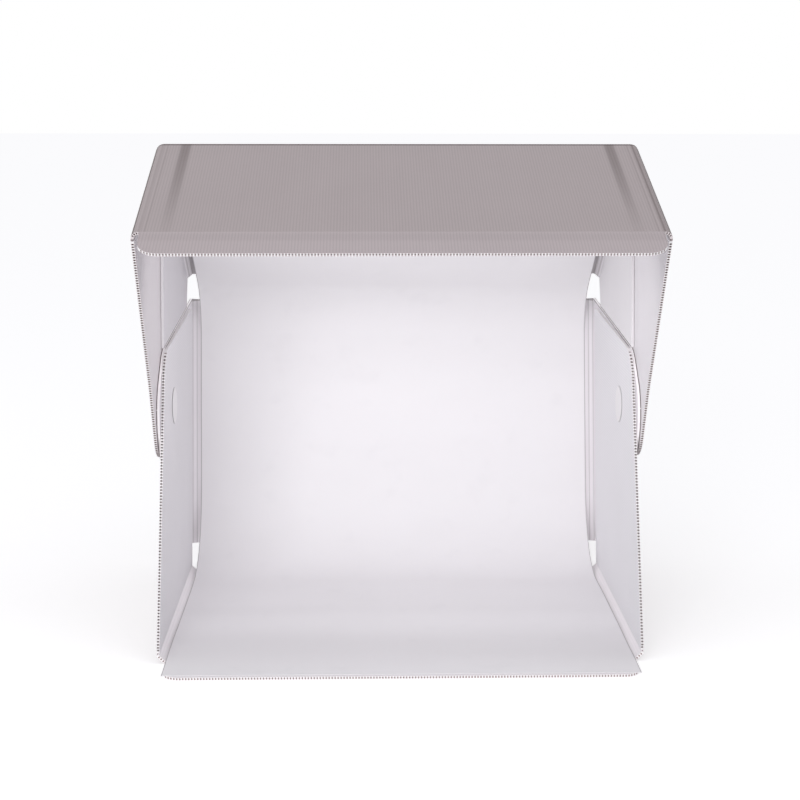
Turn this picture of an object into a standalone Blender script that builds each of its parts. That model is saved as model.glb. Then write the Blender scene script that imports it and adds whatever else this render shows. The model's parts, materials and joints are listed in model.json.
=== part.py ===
"""Folding light tent cube: a twin-wall sheet shell, a flexible backdrop and light bars.

Run with: blender --background --python part.py
Units are metres, +Z is up, the open front faces -Y and the width runs along X.

The shell is one strip of sheet folded around the cube: visor, top, roof, back and base.
Each of them carries a side flap on each edge, and the flaps lie over each other in three
layers that magnets hold shut. A side view of the strip is its profile, given below as
distances back from the front corner of the base (depth) and up from the floor (height).
"""

import math

import bmesh
import bpy
import numpy as np
from mathutils import Matrix, Vector

MM = 0.001

# Overall width and the sheet
WIDTH = 600 * MM
SHEET = 3.5 * MM
GAP = 0.3 * MM
BAND = 9 * MM
CREASE_SLOT = 0.3 * MM
ARC_STEP = math.radians(15)
WELD_DISTANCE = 0.003 * MM

# Flutes, the channels between the two skins of the sheet
FLUTE_PITCH = 3.47 * MM
FLUTE_RIB = 0.4 * MM
FLUTE_SKIN = 0.4 * MM

# Side view of the folded strip
LIP_LENGTH = 54 * MM
BASE_LENGTH = 409 * MM
BACK_LENGTH = 386 * MM
BACK_LEAN = math.radians(12.2)
ROOF_LENGTH = 381.2 * MM
ROOF_SLOPE = math.radians(37.46)
TOP_LENGTH = 254.4 * MM
TOP_SLOPE = math.radians(20.64)
VISOR_LENGTH = 50 * MM
VISOR_SLOPE = math.radians(22.5)

# Outlines of the panels
LIP_CORNER = 20 * MM
LIP_SIDE_INSET = 3 * MM
VISOR_SIDE_INSET = 1 * MM
VISOR_TAPER = 2 * MM
VISOR_CORNER = 25 * MM
TOP_REAR_CORNER = 7 * MM
RELIEF_BASE = 48 * MM
RELIEF_BACK_LOW = 29 * MM
RELIEF_BACK_HIGH = 1.5 * MM
RELIEF_ROOF = 74 * MM
RELIEF_DEPTH = 6 * MM

# Top side flaps
TOP_FLAP_TIP_AHEAD = 103 * MM
TOP_FLAP_TIP_BELOW = 57 * MM
TOP_FLAP_HOLLOW = 7.3 * MM
TOP_FLAP_HOLLOW_share = 0.65
TOP_FLAP_HEEL_DEPTH = 166 * MM
TOP_FLAP_REAR_LEAN = 44 * MM
TOP_FLAP_TIP_ROUND = 50 * MM
TOP_FLAP_HEEL_ROUND = 34 * MM
TOP_FLAP_REAR_ROUND = 12 * MM

# Wings, the flaps of the back and of the roof
WING_TOP_DROP = 26 * MM
WING_REACH = 404 * MM
WING_TIP_HEIGHT = 292 * MM
WING_TIP_BULGE = 11.5 * MM
WING_CHIN_HEIGHT = 228 * MM
WING_CHIN_REACH = 384 * MM
WING_TOP_ROUND = 66 * MM
WING_TIP_ROUND = 60 * MM
WING_CHIN_ROUND = 30 * MM
WING_FOOT_RISE = 9 * MM
WING_REAR_STEP = 17 * MM
WING_SEAM = 2 * MM
SEAM_LEAN = math.radians(8.3)

# Base side flaps
BASE_FLAP_HEIGHT = 370 * MM
BASE_FLAP_SET_BACK = 132 * MM
BASE_FLAP_NOSE_DROP = 16 * MM
BASE_FLAP_NOSE_ROUND = 52 * MM
BASE_FLAP_REAR_CLEAR = 30 * MM
BASE_FLAP_REAR_ROUND = 9 * MM
BASE_FLAP_TOE = 8 * MM

# Magnets that hold the side layers together
MAGNET_DEPTH = 207 * MM
MAGNET_HEIGHT = 274 * MM
MAGNET_RADIUS = 10 * MM
MAGNET_THICK = 2.4 * MM
COVER_RADIUS = 23 * MM
COVER_THICK = 0.8 * MM
DISC_SIDES = 40

# Light bars under the top
BAR_EDGE_INSET = 23 * MM
BAR_WIDTH = 11 * MM
BAR_HEIGHT = 7 * MM
BAR_WALL = 1.1 * MM
BAR_FLOOR = 1.2 * MM
BAR_FRONT_INSET = 10 * MM
BAR_REAR_INSET = 12 * MM
BAR_JOINT = 1.5 * MM
STRIP_WIDTH = 8 * MM
STRIP_THICK = 0.6 * MM
CHIP_SIZE = 3.0 * MM
CHIP_HEIGHT = 1.2 * MM
CHIP_PITCH = 24 * MM
DIFFUSER_THICK = 1.0 * MM
DIFFUSER_CROWN = 1.2 * MM
DIFFUSER_SIDES = 6
SOCKET_RADIUS = 4.0 * MM
SOCKET_BORE = 2.7 * MM
SOCKET_LENGTH = 9 * MM
SOCKET_BORE_DEPTH = 1.2 * MM
SOCKET_SIDES = 24

# Backdrop and the pads that hang it
BACKDROP_SIDE_CLEAR = 2.4 * MM
BACKDROP_THICK = 0.8 * MM
BACKDROP_LIP_INSET = 4.5 * MM
BACKDROP_COVE = 128 * MM
BACKDROP_BEND = 42 * MM
BACKDROP_TOP_INSET = 22 * MM
BACKDROP_ARC_STEP = math.radians(8)
PAD_SIZE = 30 * MM
PAD_THICK = 1.2 * MM
PAD_CORNER = 5 * MM
PAD_OFFSET_share = 0.42
PAD_INSET = 12 * MM

# Finishes, each a colour, a roughness and a metallic value
SHEET_FINISH = ((0.78, 0.77, 0.79), 0.5, 0.0)
BACKDROP_FINISH = ((0.9, 0.9, 0.91), 0.6, 0.0)
COVER_FINISH = ((0.83, 0.83, 0.85), 0.4, 0.0)
MAGNET_FINISH = ((0.45, 0.46, 0.48), 0.4, 1.0)
BAR_FINISH = ((0.7, 0.71, 0.73), 0.35, 1.0)
STRIP_FINISH = ((0.88, 0.88, 0.86), 0.5, 0.0)
DIFFUSER_FINISH = ((0.93, 0.93, 0.9), 0.3, 0.0)
SOCKET_FINISH = ((0.03, 0.03, 0.035), 0.5, 0.0)
PAD_FINISH = ((0.8, 0.8, 0.8), 0.9, 0.0)

# The three layers of each side, by their outer faces, and what lies between them
LAYER = SHEET + GAP
OUTER_LAYER = WIDTH / 2
MIDDLE_LAYER = OUTER_LAYER - LAYER
INNER_LAYER = MIDDLE_LAYER - LAYER
FLAP_START = BAND + SHEET * math.sin(math.pi / 4) + GAP
BAR_SIDE_OFFSET = OUTER_LAYER - BAND - BAR_EDGE_INSET
BACKDROP_WIDTH = 2 * (INNER_LAYER - BAND - BACKDROP_SIDE_CLEAR)

# Folding lines of the profile, as (depth, height) of the outer face of the sheet
BASE_FRONT = np.array((0.0, 0.0))
LIP_FRONT = BASE_FRONT - (LIP_LENGTH, 0)
BASE_REAR = BASE_FRONT + (BASE_LENGTH, 0)
BACK_TOP = BASE_REAR + BACK_LENGTH * np.array((math.sin(BACK_LEAN), math.cos(BACK_LEAN)))
RIDGE = BACK_TOP + ROOF_LENGTH * np.array((-math.cos(ROOF_SLOPE), math.sin(ROOF_SLOPE)))
TOP_FRONT = RIDGE + TOP_LENGTH * np.array((-math.cos(TOP_SLOPE), -math.sin(TOP_SLOPE)))
VISOR_FRONT = TOP_FRONT + VISOR_LENGTH * np.array((-math.cos(VISOR_SLOPE), -math.sin(VISOR_SLOPE)))
MAGNET_CENTRE = BASE_FRONT + (MAGNET_DEPTH, MAGNET_HEIGHT)


def clear_scene():
    """Remove every object, so that the script can be run again in the same file."""
    for thing in list(bpy.data.objects):
        bpy.data.objects.remove(thing, do_unlink=True)


def unit(vector):
    """The direction of a 2D vector."""
    return np.asarray(vector, float) / np.linalg.norm(vector)


def crossing(point_a, direction_a, point_b, direction_b):
    """Where two straight lines of the side view meet."""
    along = np.linalg.solve(np.column_stack((direction_a, -np.asarray(direction_b))), point_b - point_a)
    return point_a + direction_a * along[0]


def rounded_outline(corners, arc_step=ARC_STEP):
    """Points of an outline. Each corner is (point, radius), and radius 0 stays sharp."""
    points = []
    count = len(corners)
    for index, (corner, radius) in enumerate(corners):
        corner = np.asarray(corner, float)
        if radius <= 0:
            points.append(corner)
            continue
        before = unit(np.asarray(corners[index - 1][0], float) - corner)
        after = unit(np.asarray(corners[(index + 1) % count][0], float) - corner)
        half_angle = math.acos(float(np.clip(before @ after, -1, 1))) / 2
        centre = corner + unit(before + after) * radius / math.sin(half_angle)
        start = corner + before * radius / math.tan(half_angle) - centre
        end = corner + after * radius / math.tan(half_angle) - centre
        sweep = math.atan2(start[0] * end[1] - start[1] * end[0], start @ end)
        steps = max(2, math.ceil(abs(sweep) / arc_step))
        for step in range(steps + 1):
            turn = sweep * step / steps
            spin = np.array(((math.cos(turn), -math.sin(turn)), (math.sin(turn), math.cos(turn))))
            points.append(centre + spin @ start)
    return points


class Model:
    """The collections, the root empty and the materials of the tent."""

    def __init__(self):
        self.parts = self.collection("light_tent_cube")
        self.cutters = self.collection("cutters")
        self.root = bpy.data.objects.new("tent_origin", None)
        self.parts.objects.link(self.root)

    def collection(self, name):
        """A collection of that name in the scene, made if it isn't there."""
        group = bpy.data.collections.get(name) or bpy.data.collections.new(name)
        if group.name not in bpy.context.scene.collection.children:
            bpy.context.scene.collection.children.link(group)
        return group

    def material(self, name, finish):
        """A Principled material with the part's own colour."""
        colour, roughness, metallic = finish
        material = bpy.data.materials.new(name)
        material.use_nodes = True
        shader = material.node_tree.nodes["Principled BSDF"]
        shader.inputs["Base Color"].default_value = (*colour, 1.0)
        shader.inputs["Roughness"].default_value = roughness
        shader.inputs["Metallic"].default_value = metallic
        return material

    def add(self, name, mesh, matrix, finish, parent=None):
        """Link a mesh as a named part at a place in the tent's frame."""
        thing = bpy.data.objects.new(name, mesh)
        mesh.name = name
        self.parts.objects.link(thing)
        thing.parent = parent or self.root
        if parent is not None:
            thing.matrix_parent_inverse = parent.matrix_basis.inverted()
        thing.matrix_basis = matrix
        mesh.materials.append(self.material(name + "_finish", finish))
        return thing

    def hinge(self, name, depth, height, side_x=0.0):
        """An empty on a joint's axis, which the moving pieces are parented to."""
        axis = bpy.data.objects.new(name, None)
        axis.empty_display_size = SHEET
        self.parts.objects.link(axis)
        axis.parent = self.root
        axis.matrix_basis = Matrix.Translation((side_x, depth, height))
        return axis

    def subtract(self, thing, cutter_mesh, matrix):
        """Cut a shape out of a part with a Boolean."""
        cutter = bpy.data.objects.new("cutter_" + thing.name, cutter_mesh)
        self.cutters.objects.link(cutter)
        cutter.parent = self.root
        cutter.matrix_basis = matrix
        cutter.hide_render = True
        cutter.display_type = "WIRE"
        cut = thing.modifiers.new("cut", "BOOLEAN")
        cut.operation = "DIFFERENCE"
        cut.solver = "EXACT"
        cut.object = cutter


def outline_curve(points, half_thick=0.0):
    """A flat 2D curve, filled on both faces, with half its thickness as extrude."""
    curve = bpy.data.curves.new("outline", "CURVE")
    curve.dimensions = "2D"
    curve.fill_mode = "BOTH"
    curve.extrude = half_thick
    spline = curve.splines.new("POLY")
    spline.points.add(len(points) - 1)
    spline.points.foreach_set("co", np.array([(x, y, 0.0, 1.0) for x, y in points]).ravel())
    spline.use_cyclic_u = True
    return curve


def curve_mesh(curve):
    """The curve as a welded mesh."""
    holder = bpy.data.objects.new("outline_holder", curve)
    bpy.context.scene.collection.objects.link(holder)
    graph = bpy.context.evaluated_depsgraph_get()
    mesh = bpy.data.meshes.new_from_object(holder.evaluated_get(graph))
    bpy.data.objects.remove(holder, do_unlink=True)
    shape = bmesh.new()
    shape.from_mesh(mesh)
    bmesh.ops.remove_doubles(shape, verts=shape.verts, dist=WELD_DISTANCE)
    bmesh.ops.recalc_face_normals(shape, faces=shape.faces)
    shape.to_mesh(mesh)
    shape.free()
    return mesh


def plate_mesh(corners, thick):
    """A flat plate with the outline's corners, centred on its own plane."""
    return curve_mesh(outline_curve(rounded_outline(corners), thick / 2))


def side_view_matrix(x):
    """Places an outline drawn as (depth, height) on the plane at that X."""
    return Matrix(((0, 0, 1, x), (1, 0, 0, 0), (0, 1, 0, 0), (0, 0, 0, 1)))


def panel_matrix(start, end, inward=0.0):
    """Frame of a panel: X across, Y from start to end, Z out of the tent."""
    along = unit(end - start)
    out = np.array((-along[1], along[0]))
    place = start - out * inward
    across = (1, 0, 0, 0)
    return Matrix((across, (0, along[0], out[0], place[0]), (0, along[1], out[1], place[1]), (0, 0, 0, 1)))


def fold_inset(before, fold, after):
    """How far a square panel end stays from its folding line, so that the inner faces clear."""
    open_angle = math.acos(float(unit(before - fold) @ unit(after - fold)))
    return SHEET / math.tan(open_angle / 2) + CREASE_SLOT / 2


def banded_panel(corners, band_edge_x, band_from, band_to):
    """A sheet panel with a crease band turned in along a stretch of each side edge.

    The flat outline is filled, the side edges between band_from and band_to are extruded
    outwards and inwards at 45 degrees, and Solidify gives the sheet its thickness.
    """
    mesh = bpy.data.meshes.new("panel")
    shape = bmesh.new()
    rim = [shape.verts.new((x, y, 0)) for x, y in rounded_outline(corners)]
    loop = [shape.edges.new((rim[index - 1], vert)) for index, vert in enumerate(rim)]
    bmesh.ops.contextual_create(shape, geom=loop)
    for side in (-1, 1):
        edges = [edge for edge in shape.edges
                 if all(abs(v.co.x - side * band_edge_x) < WELD_DISTANCE for v in edge.verts)
                 and all(band_from - WELD_DISTANCE < v.co.y < band_to + WELD_DISTANCE for v in edge.verts)]
        grown = bmesh.ops.extrude_edge_only(shape, edges=edges)["geom"]
        moved = [item for item in grown if isinstance(item, bmesh.types.BMVert)]
        bmesh.ops.translate(shape, verts=moved, vec=(side * BAND, 0, -BAND))
    bmesh.ops.recalc_face_normals(shape, faces=shape.faces)
    shape.faces.ensure_lookup_table()
    if max(shape.faces, key=lambda face: face.calc_area()).normal.z < 0:
        bmesh.ops.reverse_faces(shape, faces=shape.faces)
    shape.to_mesh(mesh)
    shape.free()
    return mesh


def add_sheet_thickness(thing, thick=SHEET):
    """Give an open sheet its thickness, inwards from the outer face."""
    wall = thing.modifiers.new("thickness", "SOLIDIFY")
    wall.thickness = thick
    wall.offset = -1
    wall.use_even_offset = True


def flute_cores(count, length):
    """The empty insides of a row of flutes, side by side across X and centred on Y 0."""
    shape = bmesh.new()
    for index in range(count):
        place = Matrix.Translation(((index - (count - 1) / 2) * FLUTE_PITCH, 0, 0))
        size = Matrix.Diagonal((FLUTE_PITCH - FLUTE_RIB, length, SHEET - 2 * FLUTE_SKIN, 1))
        bmesh.ops.create_cube(shape, size=1, matrix=place @ size)
    mesh = bpy.data.meshes.new("flutes")
    shape.to_mesh(mesh)
    shape.free()
    return mesh


def build_visor(model, hinges):
    """The front strip of the top: its flutes are real channels, open at its front and rear edges."""
    inset = fold_inset(VISOR_FRONT, TOP_FRONT, RIDGE)
    rear_x = OUTER_LAYER - BAND - VISOR_SIDE_INSET
    front_x = rear_x - VISOR_TAPER
    outline = [((-front_x, 0), VISOR_CORNER), ((front_x, 0), VISOR_CORNER),
               ((rear_x, VISOR_LENGTH - inset), 0), ((-rear_x, VISOR_LENGTH - inset), 0)]
    place = panel_matrix(VISOR_FRONT, TOP_FRONT, SHEET / 2)
    visor = model.add("visor", plate_mesh(outline, SHEET), place, SHEET_FINISH, hinges["visor"])
    count = int(2 * (front_x - FLUTE_RIB) // FLUTE_PITCH)
    cores = flute_cores(count, VISOR_LENGTH + 2 * SHEET)
    model.subtract(visor, cores, place @ Matrix.Translation((0, VISOR_LENGTH / 2, 0)))


def mirrored(half_outline):
    """A whole outline from the corners of its +X half, which run from start to end."""
    return half_outline + [((-x, y), radius) for (x, y), radius in reversed(half_outline)]


def build_top_panel(model, hinges):
    """The top sheet, from the visor's crease to the ridge."""
    edge_x = OUTER_LAYER - BAND
    start = fold_inset(VISOR_FRONT, TOP_FRONT, RIDGE)
    end = TOP_LENGTH - fold_inset(TOP_FRONT, RIDGE, BACK_TOP)
    band_end = end - TOP_REAR_CORNER
    outline = mirrored([((edge_x, start), 0), ((edge_x, band_end), 0), ((edge_x - TOP_REAR_CORNER, end), 0)])
    mesh = banded_panel(outline, edge_x, start, band_end)
    panel = model.add("top_panel", mesh, panel_matrix(TOP_FRONT, RIDGE), SHEET_FINISH, hinges["top"])
    add_sheet_thickness(panel)


def build_roof_panel(model, hinges):
    """The sloping sheet behind the ridge, cut back beside its lower end."""
    edge_x = MIDDLE_LAYER - BAND
    relief_x = edge_x - RELIEF_DEPTH
    start = fold_inset(TOP_FRONT, RIDGE, BACK_TOP)
    end = ROOF_LENGTH - fold_inset(RIDGE, BACK_TOP, BASE_REAR)
    band_end = ROOF_LENGTH - RELIEF_ROOF
    outline = mirrored([((edge_x, start), 0), ((edge_x, band_end), 0),
                        ((relief_x, band_end), 0), ((relief_x, end), 0)])
    mesh = banded_panel(outline, edge_x, start, band_end)
    panel = model.add("roof_panel", mesh, panel_matrix(RIDGE, BACK_TOP), SHEET_FINISH, hinges["roof"])
    add_sheet_thickness(panel)


def build_back_panel(model, hinges):
    """The leaning back sheet, cut back beside both of its ends."""
    edge_x = MIDDLE_LAYER - BAND
    relief_x = edge_x - RELIEF_DEPTH
    start = fold_inset(RIDGE, BACK_TOP, BASE_REAR)
    end = BACK_LENGTH - fold_inset(BACK_TOP, BASE_REAR, BASE_FRONT)
    band_start = RELIEF_BACK_HIGH
    band_end = BACK_LENGTH - RELIEF_BACK_LOW
    outline = mirrored([((relief_x, start), 0), ((relief_x, band_start), 0), ((edge_x, band_start), 0),
                        ((edge_x, band_end), 0), ((relief_x, band_end), 0), ((relief_x, end), 0)])
    mesh = banded_panel(outline, edge_x, band_start, band_end)
    panel = model.add("back_panel", mesh, panel_matrix(BACK_TOP, BASE_REAR), SHEET_FINISH, hinges["back"])
    add_sheet_thickness(panel)


def build_base_panel(model):
    """The base sheet, cut back beside its rear end, with the lip that lies in front of the tent."""
    edge_x = INNER_LAYER - BAND
    relief_x = edge_x - RELIEF_DEPTH
    lip_x = edge_x - LIP_SIDE_INSET
    start = fold_inset(BACK_TOP, BASE_REAR, BASE_FRONT)
    outline = mirrored([((relief_x, start), 0), ((relief_x, RELIEF_BASE), 0), ((edge_x, RELIEF_BASE), 0),
                        ((edge_x, BASE_LENGTH), 0), ((lip_x, BASE_LENGTH + LIP_SIDE_INSET), 0),
                        ((lip_x, BASE_LENGTH + LIP_LENGTH), LIP_CORNER)])
    mesh = banded_panel(outline, edge_x, RELIEF_BASE, BASE_LENGTH)
    panel = model.add("base_panel", mesh, panel_matrix(BASE_REAR, LIP_FRONT), SHEET_FINISH)
    add_sheet_thickness(panel)


def below(start, end, drop, along=0.0):
    """A point that lies inside the profile by drop, and along the panel by along."""
    run = unit(end - start)
    return start + run * along - np.array((-run[1], run[0])) * drop


def top_flap_corners():
    """Side flap of the top: a tapered apron with a rounded tip, the outermost layer."""
    front = below(TOP_FRONT, RIDGE, FLAP_START)
    rear = below(TOP_FRONT, RIDGE, FLAP_START, TOP_LENGTH)
    tip = MAGNET_CENTRE - (TOP_FLAP_TIP_AHEAD, TOP_FLAP_TIP_BELOW)
    middle = below(front, tip, -TOP_FLAP_HOLLOW, TOP_FLAP_HOLLOW_share * np.linalg.norm(tip - front))
    heel = tip + (TOP_FLAP_HEEL_DEPTH, TOP_FLAP_HEEL_ROUND)
    shoulder = rear + (TOP_FLAP_REAR_LEAN, -TOP_FLAP_REAR_LEAN)
    return [(front, 0), (middle, TOP_LENGTH), (tip, TOP_FLAP_TIP_ROUND), (heel, TOP_FLAP_HEEL_ROUND),
            (shoulder, TOP_FLAP_HEEL_ROUND), (rear, TOP_FLAP_REAR_ROUND)]


def wing_top_line():
    """Start and direction of the back wing's upper edge, which drops a little to the front."""
    start = below(BACK_TOP, BASE_REAR, FLAP_START, RELIEF_BACK_HIGH)
    nose = np.array((BACK_TOP[0] - WING_REACH, BACK_TOP[1] - WING_TOP_DROP))
    return start, unit(nose - start)


def back_wing_corners():
    """Side flap of the back: a tongue with a curved nose and a mitred lower edge."""
    start, run = wing_top_line()
    foot = below(BACK_TOP, BASE_REAR, FLAP_START, BACK_LENGTH - RELIEF_BACK_LOW)
    rise = np.array((-WING_FOOT_RISE, WING_FOOT_RISE))
    nose_x = BACK_TOP[0] - WING_REACH
    high = crossing(start, run, np.array((nose_x, 0.0)), np.array((0.0, 1.0)))
    brow = high - run * WING_TOP_ROUND
    tip = np.array((nose_x - WING_TIP_BULGE, WING_TIP_HEIGHT))
    chin = np.array((BACK_TOP[0] - WING_CHIN_REACH, WING_CHIN_HEIGHT))
    return [(start, 0), (brow, WING_TOP_ROUND), (tip, WING_TIP_ROUND), (chin, WING_CHIN_ROUND),
            (foot + rise, 0), (foot, 0)]


def roof_wing_corners():
    """Side flap of the roof: it fills the wedge between the roof and the back wing."""
    seam_start, seam_run = wing_top_line()
    seam_start = seam_start + np.array((0.0, WING_SEAM))
    upper = crossing(below(RIDGE, BACK_TOP, FLAP_START), unit(BACK_TOP - RIDGE),
                     below(TOP_FRONT, RIDGE, FLAP_START), unit(RIDGE - TOP_FRONT))
    lower = below(RIDGE, BACK_TOP, FLAP_START, ROOF_LENGTH - RELIEF_ROOF)
    down = np.array((-math.sin(SEAM_LEAN), -math.cos(SEAM_LEAN)))
    front = crossing(upper, down, seam_start, seam_run)
    rear = lower + seam_run * WING_REAR_STEP
    rear = crossing(rear, np.array((0.0, -1.0)), seam_start, seam_run)
    return [(upper, 0), (front, 0), (rear, 0), (lower, 0)]


def base_flap_corners():
    """Side flap of the base: the innermost layer, with a sloping front and a round nose."""
    foot = FLAP_START
    toe = np.array((BASE_FLAP_TOE / 2, foot))
    lean = BASE_FLAP_SET_BACK / BASE_FLAP_HEIGHT
    shin = np.array((BASE_FLAP_TOE * lean, foot + BASE_FLAP_TOE))
    nose = np.array((BASE_FLAP_SET_BACK, BASE_FLAP_HEIGHT - BASE_FLAP_NOSE_DROP))
    rear_foot = np.array((BASE_LENGTH - RELIEF_BASE, foot))
    rise = np.array((math.sin(BACK_LEAN), math.cos(BACK_LEAN)))
    rear_top = rear_foot + rise * (BASE_FLAP_HEIGHT - foot) / rise[1]
    limit = BASE_REAR[0] + BASE_FLAP_HEIGHT * math.tan(BACK_LEAN) - BASE_FLAP_REAR_CLEAR
    rear_top[0] = min(rear_top[0], limit)
    return [(toe, 0), (rear_foot, 0), (rear_top, BASE_FLAP_REAR_ROUND),
            (nose, BASE_FLAP_NOSE_ROUND), (shin, 0)]


def build_side_flaps(model, hinges):
    """The four flaps of each side, in three layers, with the magnet holes cut."""
    layers = {"top_flap": (top_flap_corners(), OUTER_LAYER, True),
              "roof_wing": (roof_wing_corners(), MIDDLE_LAYER, False),
              "back_wing": (back_wing_corners(), MIDDLE_LAYER, False),
              "base_flap": (base_flap_corners(), INNER_LAYER, True)}
    for side, side_name in ((-1, "left"), (1, "right")):
        for name, (corners, layer, has_magnet) in layers.items():
            mesh = plate_mesh(corners, SHEET)
            full_name = f"{name}_{side_name}"
            place = side_view_matrix(side * (layer - SHEET / 2))
            flap = model.add(full_name, mesh, place, SHEET_FINISH, hinges[full_name])
            if has_magnet:
                hole = disc_mesh(MAGNET_RADIUS + GAP, SHEET * 2)
                centre = (side * (layer - SHEET / 2), *MAGNET_CENTRE)
                model.subtract(flap, hole, Matrix.Translation(centre) @ Matrix.Rotation(math.pi / 2, 4, "Y"))


def disc_mesh(radius, thick, sides=DISC_SIDES):
    """A round disc along its own Z."""
    mesh = bpy.data.meshes.new("disc")
    shape = bmesh.new()
    bmesh.ops.create_cone(shape, cap_ends=True, segments=sides, radius1=radius, radius2=radius, depth=thick)
    shape.to_mesh(mesh)
    shape.free()
    return mesh


def build_magnets(model, hinges):
    """A magnet in each base flap, a steel keeper in each top flap, and their round covers."""
    across = Matrix.Rotation(math.pi / 2, 4, "Y")
    for side, side_name in ((-1, "left"), (1, "right")):
        inner_face = INNER_LAYER - SHEET
        disc = (MAGNET_RADIUS, MAGNET_THICK, MAGNET_FINISH)
        cover = (COVER_RADIUS, COVER_THICK, COVER_FINISH)
        pieces = (("magnet", inner_face + MAGNET_THICK / 2, disc, "base_flap"),
                  ("magnet_cover", inner_face - GAP - COVER_THICK / 2, cover, "base_flap"),
                  ("keeper", OUTER_LAYER - MAGNET_THICK / 2, disc, "top_flap"),
                  ("keeper_cover", OUTER_LAYER + GAP + COVER_THICK / 2, cover, "top_flap"))
        for name, x, (radius, thick, finish), carrier in pieces:
            place = Matrix.Translation((side * x, *MAGNET_CENTRE)) @ across
            hinge = hinges[f"{carrier}_{side_name}"]
            model.add(f"{name}_{side_name}", disc_mesh(radius, thick), place, finish, hinge)


def extruded(points, length):
    """A cross-section carried along its own Z for a length, from Z 0."""
    mesh = curve_mesh(outline_curve(points, length / 2))
    mesh.transform(Matrix.Translation((0, 0, length / 2)))
    return mesh


def bar_frame(length_from, across_x, turned):
    """Frame of a light bar on the underside of the top: Z runs along the bar, Y hangs down."""
    under = panel_matrix(TOP_FRONT, RIDGE, SHEET + GAP)
    place = under @ Matrix.Translation((across_x, length_from, 0))
    if turned:
        return place @ Matrix(((0, 0, 1, 0), (1, 0, 0, 0), (0, -1, 0, 0), (0, 0, 0, 1)))
    return place @ Matrix.Rotation(-math.pi / 2, 4, "X")


def channel_section():
    """U section of the aluminium channel, open downwards, as (across, down) points."""
    wide = BAR_WIDTH / 2
    return [(-wide, 0), (wide, 0), (wide, BAR_HEIGHT), (wide - BAR_WALL, BAR_HEIGHT),
            (wide - BAR_WALL, BAR_FLOOR), (-wide + BAR_WALL, BAR_FLOOR),
            (-wide + BAR_WALL, BAR_HEIGHT), (-wide, BAR_HEIGHT)]


def diffuser_section():
    """Crowned milky cover that closes the channel, as (across, down) points."""
    wide = BAR_WIDTH / 2 - BAR_WALL - GAP
    top = BAR_HEIGHT - DIFFUSER_THICK
    turns = np.linspace(0, math.pi, DIFFUSER_SIDES + 1)
    arc = [(wide * math.cos(t), BAR_HEIGHT + DIFFUSER_CROWN * math.sin(t)) for t in turns]
    return [(-wide, top), (wide, top)] + arc


def led_strip_mesh(length):
    """The LED strip: a thin board with a row of square chips, joined into one body."""
    half = STRIP_WIDTH / 2
    floor = BAR_FLOOR + GAP
    chip = CHIP_SIZE / 2
    count = int((length - CHIP_PITCH) // CHIP_PITCH) + 1
    start = (length - (count - 1) * CHIP_PITCH) / 2
    outline = [(0, floor), (0, floor + STRIP_THICK)]
    for index in range(count):
        centre = start + index * CHIP_PITCH
        outline += [(centre - chip, floor + STRIP_THICK), (centre - chip, floor + STRIP_THICK + CHIP_HEIGHT),
                    (centre + chip, floor + STRIP_THICK + CHIP_HEIGHT), (centre + chip, floor + STRIP_THICK)]
    outline += [(length, floor + STRIP_THICK), (length, floor)]
    mesh = curve_mesh(outline_curve(outline, half))
    mesh.transform(Matrix(((0, 0, -1, 0), (0, 1, 0, 0), (1, 0, 0, 0), (0, 0, 0, 1))))
    return mesh


def build_light_bars(model, hinges):
    """Two side bars and a front bar under the top, each a channel, a strip and a diffuser."""
    side_start = BAR_FRONT_INSET + BAR_WIDTH + BAR_JOINT
    side_length = TOP_LENGTH - BAR_REAR_INSET - side_start
    front_length = 2 * BAR_SIDE_OFFSET + BAR_WIDTH
    bars = (("left", side_length, bar_frame(side_start, -BAR_SIDE_OFFSET, False)),
            ("right", side_length, bar_frame(side_start, BAR_SIDE_OFFSET, False)),
            ("front", front_length, bar_frame(BAR_FRONT_INSET + BAR_WIDTH / 2, -front_length / 2, True)))
    for name, length, place in bars:
        pieces = (("light_channel", extruded(channel_section(), length), BAR_FINISH),
                  ("led_strip", led_strip_mesh(length), STRIP_FINISH),
                  ("light_diffuser", extruded(diffuser_section(), length), DIFFUSER_FINISH))
        for piece, mesh, finish in pieces:
            model.add(f"{piece}_{name}", mesh, place, finish, hinges["top"])

    socket = disc_mesh(SOCKET_RADIUS, SOCKET_LENGTH, SOCKET_SIDES)
    socket_start = side_start + side_length + GAP + SOCKET_LENGTH / 2
    under = panel_matrix(TOP_FRONT, RIDGE, SHEET + GAP + SOCKET_RADIUS)
    lying = Matrix.Rotation(-math.pi / 2, 4, "X")
    centre = under @ Matrix.Translation((BAR_SIDE_OFFSET, socket_start, 0)) @ lying
    body = model.add("power_socket", socket, centre, SOCKET_FINISH, hinges["top"])
    bore = disc_mesh(SOCKET_BORE, SOCKET_BORE_DEPTH * 2, SOCKET_SIDES)
    model.subtract(body, bore, centre @ Matrix.Translation((0, 0, SOCKET_LENGTH / 2)))


def backdrop_path():
    """Side view of the backdrop's under face, from under the ridge down to the lip."""
    hang = SHEET + PAD_THICK + 2 * GAP
    lie = SHEET + GAP
    top = below(RIDGE, BACK_TOP, hang, BACKDROP_TOP_INSET)
    roof_run = unit(BACK_TOP - RIDGE)
    back_run = unit(BASE_REAR - BACK_TOP)
    bend = crossing(top, roof_run, below(BACK_TOP, BASE_REAR, lie), back_run)
    cove = crossing(bend, back_run, np.array((0.0, lie)), np.array((1.0, 0.0)))
    front = np.array((LIP_FRONT[0] + BACKDROP_LIP_INSET, lie))
    corners = [(top, 0), (bend, BACKDROP_BEND), (cove, BACKDROP_COVE), (front, 0)]
    return rounded_outline(corners, BACKDROP_ARC_STEP)


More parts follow.
